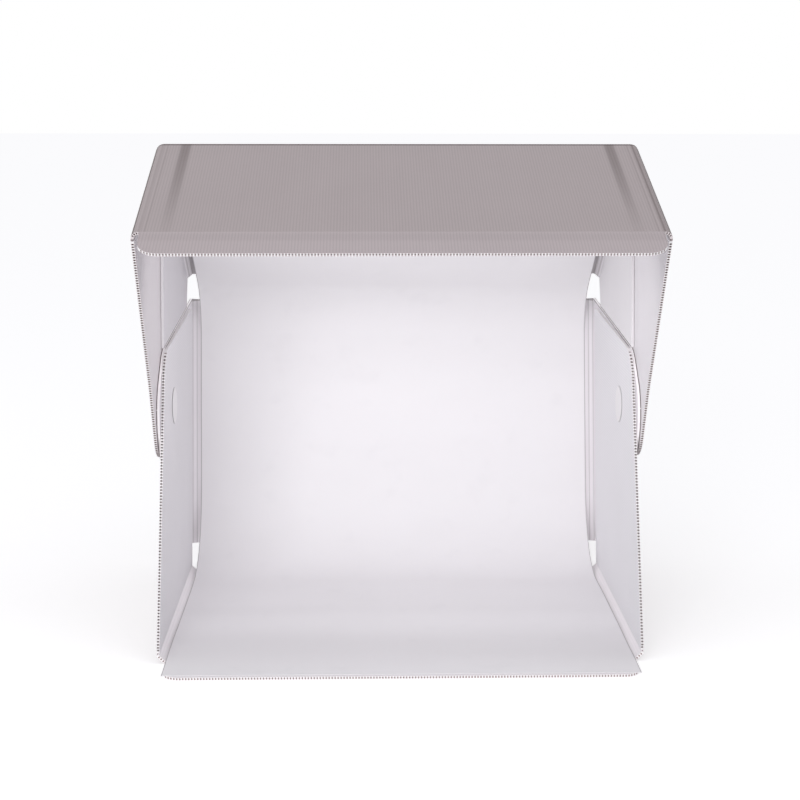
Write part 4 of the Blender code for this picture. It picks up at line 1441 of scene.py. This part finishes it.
    def flaps(self) -> tuple[Flap, ...]:
        """The four flaps of a side, from the outer layer to the inner one.

        The light falls on the right-hand ones more squarely, so their inner skin is painted paler, as
        painted light. A roof and a back wing have lines of painted shade where they meet, a base flap has
        a ring of painted shadow round its magnet's cover, and the back wing's crease has a band of
        painted shade at its upper tip.
        """
        shape, sizes = self.profile, self.sizes
        shut = TwinWall(pressed_shut=True)
        start, run = self.wing_top_line()
        seam = ShadeLine(tuple(start + (0.0, self.wing_seam)), tuple(run), self.seam_shade)
        lip = ShadeLine(tuple(start), tuple(run), self.lip_shade)
        middle, span = node_box("magnet_cover_left")
        ring = ShadeRing(tuple(middle[1:]), span[1] / 2 + self.cover_clear, self.cover_shade)
        tip = ShadeBand(2, shape.back_top[1] - sizes.relief_back_high, self.tip_shade)
        top = SheetFinish("top_flap_sheet", inner=srgb(222, 217, 220))
        roof = SheetFinish("roof_wing_sheet", inner=srgb(218, 215, 219), cut=srgb(236, 233, 236),
                           flute=srgb(216, 211, 214), bands=(seam,))
        back = SheetFinish("back_wing_sheet", flute=srgb(96, 78, 80), glow=0.12, bands=(lip,))
        base = SheetFinish("base_flap_sheet", inner=srgb(233, 231, 234), rim=srgb(214, 206, 207),
                           flute=srgb(186, 173, 171), bands=(ring,))
        return (Flap("top_flap", "top", self.top_flap(), sizes.outer_layer, (shape.top_front, shape.ridge),
                     top, replace(top, inner=srgb(234, 231, 234))),
                Flap("roof_wing", "roof", self.roof_wing(), sizes.middle_layer, (shape.ridge, shape.back_top),
                     roof, replace(roof, inner=srgb(238, 236, 238), cut=srgb(228, 225, 228)), shut),
                Flap("back_wing", "back", self.back_wing(), sizes.middle_layer,
                     (shape.back_top, shape.base_rear), back, back, shut, 0.14, (tip,)),
                Flap("base_flap", "base", self.base_flap(), sizes.inner_layer,
                     (shape.base_rear, shape.base_front), base, replace(base, inner=srgb(239, 238, 241)),
                     TwinWall(steep=2.4), 0.2))

    def build(self) -> None:
        """Build both sides."""
        for side in Side:
            for flap in self.flaps():
                body = f"{flap.name}_{side.word}"
                plane = Plane.flap(side, flap.layer, *flap.fold)
                outline = plane.flat(rounded(flap.corners))
                thing = flap.wall.build(f"{flap.name}_sheet_{side.word}", plane, [outline])
                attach(thing, body)
                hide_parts(body)
                dress(thing, flap.finish(side).material())
                self.build_crease(side, flap, plane, outline)

    def build_crease(self, side: Side, flap: Flap, plane: Plane, outline: np.ndarray) -> None:
        """The crushed fold between a panel's band and its flap.

        Args:
            side: Which side wall.
            flap: The flap.
            plane: The flap's plane on that side.
            outline: The flap's outline as (along, across).
        """
        edge = outline[:, 1].min()
        at_edge = outline[outline[:, 1] < edge + self.edge_tolerance, 0]
        first, last = at_edge.min() + self.crease_end, at_edge.max() - self.crease_end
        origin = plane.origin + plane.along * first
        start = origin + plane.across * self.sizes.band
        end = origin + plane.across * edge
        middle = (start + end) / 2
        crease = Crease(f"{flap.name}_crease_{side.word}", start, middle + plane.out * self.crease_bulge, end,
                        run=plane.along * (last - first), inside=middle - plane.out,
                        bodies=(flap.carrier, f"{flap.name}_{side.word}"), thick=self.crease_thick)
        finish = SheetFinish(crease.name, outer=srgb(160, 148, 149), rib_contrast=0.0,
                             glow=flap.crease_glow, bands=flap.crease_bands)
        dress(crease.build(False), finish.material())


@dataclass(frozen=True)
class Wave:
    """A slow sine over the backdrop, in radians a metre down it and from its middle to an edge."""

    down: float
    across: float
    phase: float
    height: float

    def lift(self, run: np.ndarray, share: np.ndarray) -> np.ndarray:
        """One plus the sine, times the height."""
        return (1 + np.sin(run * self.down + share * self.across + self.phase)) * self.height


@dataclass
class CovedBackdrop:
    """The white flexible sheet that runs from the roof down the back and through a cove to the lip.

    It is made as two pieces that meet on the back, each across one fold.
    """

    sizes: Sizes
    profile: Profile
    side_clear: float = 2.4 * MM
    thick: float = 0.8 * MM
    lip_inset: float = 4.5 * MM
    cove: float = 128 * MM
    bend: float = 78 * MM
    top_inset: float = 22 * MM
    columns: int = 121
    row_step: float = 3 * MM
    split_share: float = 0.5
    waves: tuple[Wave, ...] = (Wave(21.0, 1.3, 0.0, 0.6 * MM), Wave(47.0, -2.1, 1.0, 0.25 * MM))
    curl: float = 0.4 * MM
    curl_down: float = 13.0
    curl_across: float = 1.5 * math.pi
    ease: float = 60 * MM
    cove_ahead: float = 60 * MM
    cove_low: float = 10 * MM
    cove_behind: float = 2 * MM
    cove_high: float = 110 * MM
    bend_reach: float = 30 * MM
    inside: tuple[float, float, float] = (0.0, 0.0, 0.3)
    sharp_degrees: float = 60.0

    def path(self) -> tuple[np.ndarray, np.ndarray]:
        """The under face in the side view.

        Returns:
            Points at even steps from the roof down to the lip, and the split point on the back.
        """
        shape = self.profile
        hang = self.sizes.sheet + self.sizes.pad_thick + 2 * self.sizes.gap
        lie = self.sizes.sheet + self.sizes.gap
        top = below(shape.ridge, shape.back_top, hang, self.top_inset)
        back_run = unit(shape.base_rear - shape.back_top)
        turn = crossing(top, unit(shape.back_top - shape.ridge),
                        below(shape.back_top, shape.base_rear, lie), back_run)
        foot = crossing(turn, back_run, np.array((0.0, lie)), np.array((1.0, 0.0)))
        front = np.array((shape.lip_front[0] + self.lip_inset, lie))
        line = rounded([(top, 0), (turn, self.bend), (foot, self.cove), (front, 0)], math.radians(2))
        length = np.concatenate(((0.0,), np.cumsum(np.linalg.norm(np.diff(line, axis=0), axis=1))))
        even = np.linspace(0, length[-1], int(length[-1] / self.row_step) + 1)
        points = np.column_stack([np.interp(even, length, line[:, axis]) for axis in (0, 1)])
        return points, turn + (foot - turn) * self.split_share

    def lift(self, run: np.ndarray, share: np.ndarray) -> np.ndarray:
        """How far the sheet lies off what is under it.

        The lift is a sum of slow waves and of a curl at the edges, a cosine across the sheet
        times a sine down it. It is never below zero, and eases out at both ends.

        Args:
            run: Distances down the sheet, as a column.
            share: Places across it from -1 to 1, as a row.

        Returns:
            The lift at each point of the grid.
        """
        lift = sum(wave.lift(run, share) for wave in self.waves)
        curl = (1 - np.cos(share * self.curl_across)) * self.curl
        lift = lift + curl * (0.5 + 0.5 * np.sin(run * self.curl_down))
        ends = np.clip(np.minimum(run, run[-1] - run) / self.ease, 0, 1)
        return lift * ends ** 2 * (3 - 2 * ends)

    def build(self) -> None:
        """Build both pieces, with slow waves that lift the sheet off what is under it."""
        shape = self.profile
        line, split = self.path()
        half = self.sizes.inner_layer - self.sizes.band - self.side_clear
        across = np.linspace(-half, half, self.columns)
        tangent = np.gradient(line, axis=0)
        inward = np.column_stack((tangent[:, 1], -tangent[:, 0]))
        inward /= np.linalg.norm(inward, axis=1, keepdims=True)
        lift = self.lift(np.arange(len(line))[:, None] * self.row_step, across[None] / half)
        points = np.empty((*lift.shape, 3))
        points[..., 0] = across[None]
        points[..., 1:] = line[:, None] + inward[:, None] * lift[..., None]
        rising = np.argmax(line[:, 1] < split[1])
        material = BackdropFinish(half).material()
        lower = self.piece("backdrop_lower", points[rising:], material)
        upper = self.piece("backdrop_upper", points[:rising + 1], material)
        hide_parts("backdrop")
        foot_y = shape.base_rear[0]
        foot_y - self.cove_ahead
        foot_y - self.cove_behind
        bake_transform(lower)
        bend_mark = below(shape.back_top, shape.base_rear, 0.0, self.bend_reach)
        roof_mark = below(shape.back_top, shape.ridge, 0.0, self.bend_reach)
        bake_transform(upper)
        lower_length = (len(line) - 1 - rising) * self.row_step
        2 * half
        2 * half
        rising * self.row_step

    def piece(self, name: str, grid: np.ndarray, material: bpy.types.Material) -> bpy.types.Object:
        """A sheet from a grid of points, with its thickness towards the inside of the tent.

        Args:
            name: Name of the piece.
            grid: Points as rows down the sheet and columns across it.
            material: Its material.

        Returns:
            The sheet's object.
        """
        rows, columns = grid.shape[:2]
        down = np.gradient(grid, axis=0)
        side = np.gradient(grid, axis=1)
        inward = np.cross(side, down)
        inward /= np.linalg.norm(inward, axis=2, keepdims=True)
        inward *= np.sign(np.sum(inward * (self.inside - grid), axis=2).mean())
        points = np.concatenate((grid.reshape(-1, 3), (grid + inward * self.thick).reshape(-1, 3)))
        thing = make_closed_mesh(name, points, slab_faces(rows, columns), self.sharp_degrees)
        dress(thing, material)
        return thing


def slab_faces(rows: int, columns: int) -> np.ndarray:
    """Faces of a slab between two grids of points, joined round their rim.

    Args:
        rows: Points down each grid.
        columns: Points across each grid.

    Returns:
        The faces. The second grid's points follow the first's.
    """
    row, column = np.meshgrid(np.arange(rows - 1), np.arange(columns - 1), indexing="ij")
    corner = (row * columns + column).reshape(-1, 1)
    lower = corner + np.array((0, 1, columns + 1, columns))
    upper = corner + np.array((0, columns, columns + 1, 1)) + rows * columns
    top = np.arange(columns - 1)
    right = np.arange(rows - 1) * columns + columns - 1
    bottom = rows * columns - 1 - np.arange(columns - 1)
    left = (np.arange(rows - 1, 0, -1)) * columns
    rim = np.concatenate((top, right, bottom, left))
    ahead = np.roll(rim, -1)
    wall = np.stack((rim, rim + rows * columns, ahead + rows * columns, ahead), axis=-1)
    return np.concatenate((lower, upper, wall))


def turned(name: str, centre: np.ndarray, axis: np.ndarray, profile: np.ndarray, sides: int = 96,
           sharp_degrees: float = 40.0) -> bpy.types.Object:
    """A turned piece: a profile of (radius, height) carried round an axis.

    A point lies at the centre, plus its radius times the turned sideways direction, plus its
    height times the axis. The first and the last radius are zero and close the piece.

    Args:
        name: Name of the piece.
        centre: Point of the axis at height 0.
        axis: Direction of the axis.
        profile: Radius and height of each ring.
        sides: Points in each ring.
        sharp_degrees: Degrees above which an edge stays sharp.

    Returns:
        The piece's object.
    """
    axis = unit(axis)
    side_a = unit(np.cross(axis, (0.0, 0.3, 1.0)))
    side_b = np.cross(axis, side_a)
    turn = np.linspace(0, 2 * np.pi, sides, endpoint=False)[:, None]
    around = np.cos(turn) * side_a + np.sin(turn) * side_b
    rings = profile[1:-1]
    body = centre + rings[:, None, :1] * around[None] + rings[:, None, 1:] * axis
    first = centre + axis * profile[0, 1]
    last = centre + axis * profile[-1, 1]
    points = np.concatenate((body.reshape(-1, 3), first[None], last[None]))
    count = len(rings)
    row, column = np.meshgrid(np.arange(count - 1), np.arange(sides), indexing="ij")
    ahead = (column + 1) % sides
    walls = np.stack((row * sides + column, (row + 1) * sides + column, (row + 1) * sides + ahead,
                      row * sides + ahead), axis=-1).reshape(-1, 4)
    edge = np.arange(sides)
    after = (edge + 1) % sides
    first_cap = np.stack((edge, after, np.full(sides, count * sides), np.full(sides, count * sides)), axis=-1)
    base = (count - 1) * sides
    last_cap = np.stack((base + after, base + edge, np.full(sides, count * sides + 1),
                         np.full(sides, count * sides + 1)), axis=-1)
    return make_closed_mesh(name, points, np.concatenate((walls, first_cap, last_cap)), sharp_degrees)


@dataclass
class MagnetClosures:
    """Round satin covers over the magnets of the base flaps and the keepers of the top flaps."""

    rim: float = 0.3 * MM
    crown: float = 0.12 * MM
    rim_points: int = 9
    face_points: int = 7

    def build(self) -> None:
        """Replace the four plain covers with softly rimmed discs, and finish the steel."""
        cover = PlainFinish("cover_satin", srgb(240, 238, 239), 0.34, grain=300.0, variation=0.02)
        steel = PlainFinish("nickel", srgb(176, 178, 180), 0.3, 1.0, grain=800.0, stretch=(1, 0.1, 1))
        for side in Side:
            for name, body in (("magnet_cover", "base_flap"), ("keeper_cover", "top_flap")):
                node = f"{name}_{side.word}"
                middle, span = node_box(node)
                thing = self.disc(f"{node}_disc", middle, span, side)
                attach(thing, f"{body}_{side.word}")
                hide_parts(node)
                dress(thing, cover.material())
            for name in ("magnet", "keeper"):
                give_node(f"{name}_{side.word}", steel.material())

    def disc(self, name: str, centre: np.ndarray, span: np.ndarray, side: Side) -> bpy.types.Object:
        """A disc whose rim is a half round and whose faces are crowned by a parabola."""
        radius, half = span[1] / 2, span[0] / 2
        flat, edge = radius - self.rim, half - self.crown
        turn = np.linspace(-np.pi / 2, np.pi / 2, self.rim_points)
        rim = np.column_stack((flat + self.rim * np.cos(turn), edge * np.sin(turn)))
        share = np.linspace(0, 1, self.face_points, endpoint=False)
        face = np.column_stack((share * flat, half - self.crown * share ** 2))
        profile = np.concatenate((face * (1, -1), rim, face[::-1]))
        return turned(name, centre, np.array((float(side.value), 0.0, 0.0)), profile)


def give_node(node: str, material: bpy.types.Material) -> None:
    """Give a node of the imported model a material."""
    thing = frame["nodes"][node]
    thing.data.materials.clear()
    thing.data.materials.append(material)
    LOG.info("finished %s", node)


@dataclass
class LightBars:
    """Finishes of the three light bars under the top, and of the power inlet."""

    def dress(self) -> None:
        """Give channels, boards, diffusers and the inlet their materials."""
        milk = PlainFinish("diffuser_milk", srgb(242, 241, 236), 0.28, grain=200.0, depth=0.01 * MM,
                           variation=0.02)
        for name in ("left", "right", "front"):
            stretch = (0.02, 1.0, 1.0) if name == "front" else (1.0, 0.02, 1.0)
            alloy = PlainFinish(f"drawn_aluminium_{name}", srgb(206, 208, 211), 0.32, 1.0, grain=1800.0,
                                stretch=stretch, depth=0.01 * MM)
            give_node(f"light_channel_{name}", alloy.material())
            give_node(f"led_strip_{name}", BoardFinish().material())
            give_node(f"light_diffuser_{name}", milk.material())
        barrel = PlainFinish("inlet_black", srgb(30, 30, 33), 0.45, grain=900.0)
        give_node("power_socket", barrel.material())


@dataclass
class HangingPads:
    """Hook tape pads under the roof that carry the backdrop, with rows of small hooks."""

    sizes: Sizes
    profile: Profile
    hooks: int = 24
    hook_height: float = 0.5 * MM
    points_per_hook: int = 4
    roundness: int = 6
    rim_steepness: float = 8.0
    rim_drop_share: float = 0.3
    sharp_degrees: float = 60.0

    def build(self) -> None:
        """Replace each pad with a soft tile whose lower face is covered with hooks.

        The square is drawn in to a rounded one, whose sixth powers sum to one. The face's height
        is a lattice of raised squares of cosines, and it falls away at the rim.
        """
        finish = PlainFinish("hook_tape", srgb(226, 226, 224), 0.85, grain=2200.0, depth=0.1 * MM,
                             variation=0.1)
        run = unit(self.profile.back_top - self.profile.ridge)
        along = np.array((0.0, *run))
        out = np.array((0.0, -run[1], run[0]))
        thick, count = self.sizes.pad_thick, self.hooks * self.points_per_hook + 1
        place = np.linspace(-1, 1, count)
        wide, long = np.meshgrid(place, place, indexing="ij")
        squared = np.maximum(np.abs(wide), np.abs(long))
        power = (np.abs(wide) ** self.roundness + np.abs(long) ** self.roundness) ** (1 / self.roundness)
        shrink = np.where(squared > 0, squared / np.maximum(power, 1e-9), 1.0)
        lattice = np.cos(wide * np.pi * self.hooks) * np.cos(long * np.pi * self.hooks)
        rim = np.clip((1 - squared) * self.rim_steepness, 0, 1)
        face = -thick / 2 + (1 - rim) * thick * self.rim_drop_share
        face = face + (0.5 - 0.5 * lattice) * self.hook_height * rim
        for side in Side:
            node = f"hanging_pad_{side.word}"
            middle, span = node_box(node)
            reach = shrink * span[0] / 2
            flat = middle + (wide * reach)[..., None] * (1.0, 0.0, 0.0) + (long * reach)[..., None] * along
            hooked, plain = flat + face[..., None] * out, flat + thick / 2 * out
            points = np.concatenate((hooked.reshape(-1, 3), plain.reshape(-1, 3)))
            thing = make_closed_mesh(f"hook_tile_{side.word}", points, slab_faces(count, count),
                                     self.sharp_degrees)
            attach(thing, "roof")
            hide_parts(node)
            dress(thing, finish.material())


@dataclass(frozen=True)
class AreaLamp:
    """A soft rectangular lamp that shines from its place towards its aim."""

    name: str
    energy: float
    size: tuple[float, float]
    place: tuple[float, float, float]
    aim: tuple[float, float, float]
    seen: bool = True

    def hang(self, scene: bpy.types.Scene) -> None:
        """Add the lamp to a scene."""
        lamp = bpy.data.lights.new(self.name, "AREA")
        lamp.shape = "RECTANGLE"
        lamp.size, lamp.size_y = self.size
        lamp.energy = self.energy
        holder = bpy.data.objects.new(self.name, lamp)
        place = Vector(self.place)
        turn = (Vector(self.aim) - place).to_track_quat("-Z", "Y")
        holder.matrix_world = Matrix.Translation(place) @ turn.to_matrix().to_4x4()
        holder.visible_camera = self.seen
        scene.collection.objects.link(holder)


@dataclass
class PhotoStudio:
    """Camera, lamps, plain floor and white surround of the picture.

    The key lamp stands in front, a little to the left and above. The glow is the light of the
    bars under the top, as one soft strip that the eye doesn't see.
    """

    focal: float = 1522.0
    picture: float = 800.0
    film: float = 36.0
    far: float = 50.0
    eye: tuple[float, float, float] = (-0.0440, -1.9284, 0.6610)
    pitch: float = math.radians(11.114)
    yaw: float = math.radians(1.398)
    roll: float = math.radians(0.078)
    fill: float = 0.65
    fill_colour: Colour = (0.97, 0.97, 1.0)
    key: AreaLamp = AreaLamp("key", 41.0, (1.8, 1.8), (-0.9, -3.4, 1.0), (0.0, 0.1, 0.3))
    glow: AreaLamp = AreaLamp("bar_glow", 0.42, (0.4, 0.12), (-0.01, -0.2, 0.48), (0.0, 0.3, 0.2),
                              seen=False)
    floor_reach: float = 30.0
    floor_cells: int = 8
    floor_lift: float = 0.36

    def build(self) -> None:
        """Build everything that isn't the tent."""
        scene = bpy.context.scene
        scene.view_settings.view_transform = "Standard"
        self.add_camera(scene)
        self.add_world(scene)
        self.key.hang(scene)
        self.glow.hang(scene)
        self.add_floor()

    def add_camera(self, scene: bpy.types.Scene) -> None:
        """Put the camera where the photograph was taken from."""
        lens = bpy.data.cameras.new("camera")
        lens.sensor_width = self.film
        lens.lens = self.focal * self.film / self.picture
        lens.clip_end = self.far
        camera = bpy.data.objects.new("camera", lens)
        turn = Matrix.Rotation(-self.yaw, 4, "Z") @ Matrix.Rotation(math.pi / 2 - self.pitch, 4, "X")
        camera.matrix_world = Matrix.Translation(self.eye) @ turn @ Matrix.Rotation(self.roll, 4, "Z")
        scene.collection.objects.link(camera)
        scene.camera = camera

    def add_world(self, scene: bpy.types.Scene) -> None:
        """A white surround for the eye and for gloss, and a dimmer even fill for the rest."""
        nodes = Nodes(bpy.data.worlds.new("surround"))
        path = nodes.node("LightPath").outputs
        clear = Value(nodes, path["Is Camera Ray"])
        for ray in ("Is Glossy Ray", "Is Transmission Ray"):
            clear = clear.apply("MAXIMUM", path[ray])
        white = nodes.node("Background", None, {"Color": (1.0, 1.0, 1.0), "Strength": 1.0})
        fill = nodes.node("Background", None, {"Color": self.fill_colour, "Strength": self.fill})
        mix = nodes.node("MixShader", None, {0: clear, 1: fill.outputs[0], 2: white.outputs[0]})
        nodes.node("OutputWorld", None, {0: mix.outputs[0]})
        scene.world = nodes.owner

    def add_floor(self) -> None:
        """A pale floor that meets the white surround and keeps the tent's soft shadow."""
        cells = self.floor_cells
        grid = np.linspace(-self.floor_reach, self.floor_reach, cells + 1)
        x, y = np.meshgrid(grid, grid, indexing="xy")
        points = np.stack((x, y, np.zeros_like(x)), axis=-1).reshape(-1, 3)
        row, column = np.meshgrid(np.arange(cells), np.arange(cells), indexing="ij")
        faces = (row * (cells + 1) + column).reshape(-1, 1) + np.array((0, 1, cells + 2, cells + 1))
        floor = make_mesh("floor", points, faces)
        nodes = Nodes.finish("floor_pale")
        eye = Value(nodes, nodes.node("LightPath").outputs["Is Camera Ray"])
        material = nodes.close(Base_Color=srgb(250, 250, 250), Roughness=0.9, Specular_IOR_Level=0.0,
                               Emission_Color=(1.0, 1.0, 1.0), Emission_Strength=eye * self.floor_lift)
        floor.data.materials.append(material)


def main() -> None:
    """Dress the whole tent."""
    logging.basicConfig(level=logging.INFO, format="%(name)s: %(message)s")
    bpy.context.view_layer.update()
    sizes = Sizes()
    profile = Profile.of(frame, visor_length=50 * MM, visor_slope=math.radians(22.5))
    PhotoStudio().build()
    FoldedShell(sizes, profile).build()
    SideFlaps(sizes, profile).build()
    CovedBackdrop(sizes, profile).build()
    MagnetClosures().build()
    LightBars().dress()
    HangingPads(sizes, profile).build()
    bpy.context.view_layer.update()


if __name__ == "__main__":
    main()
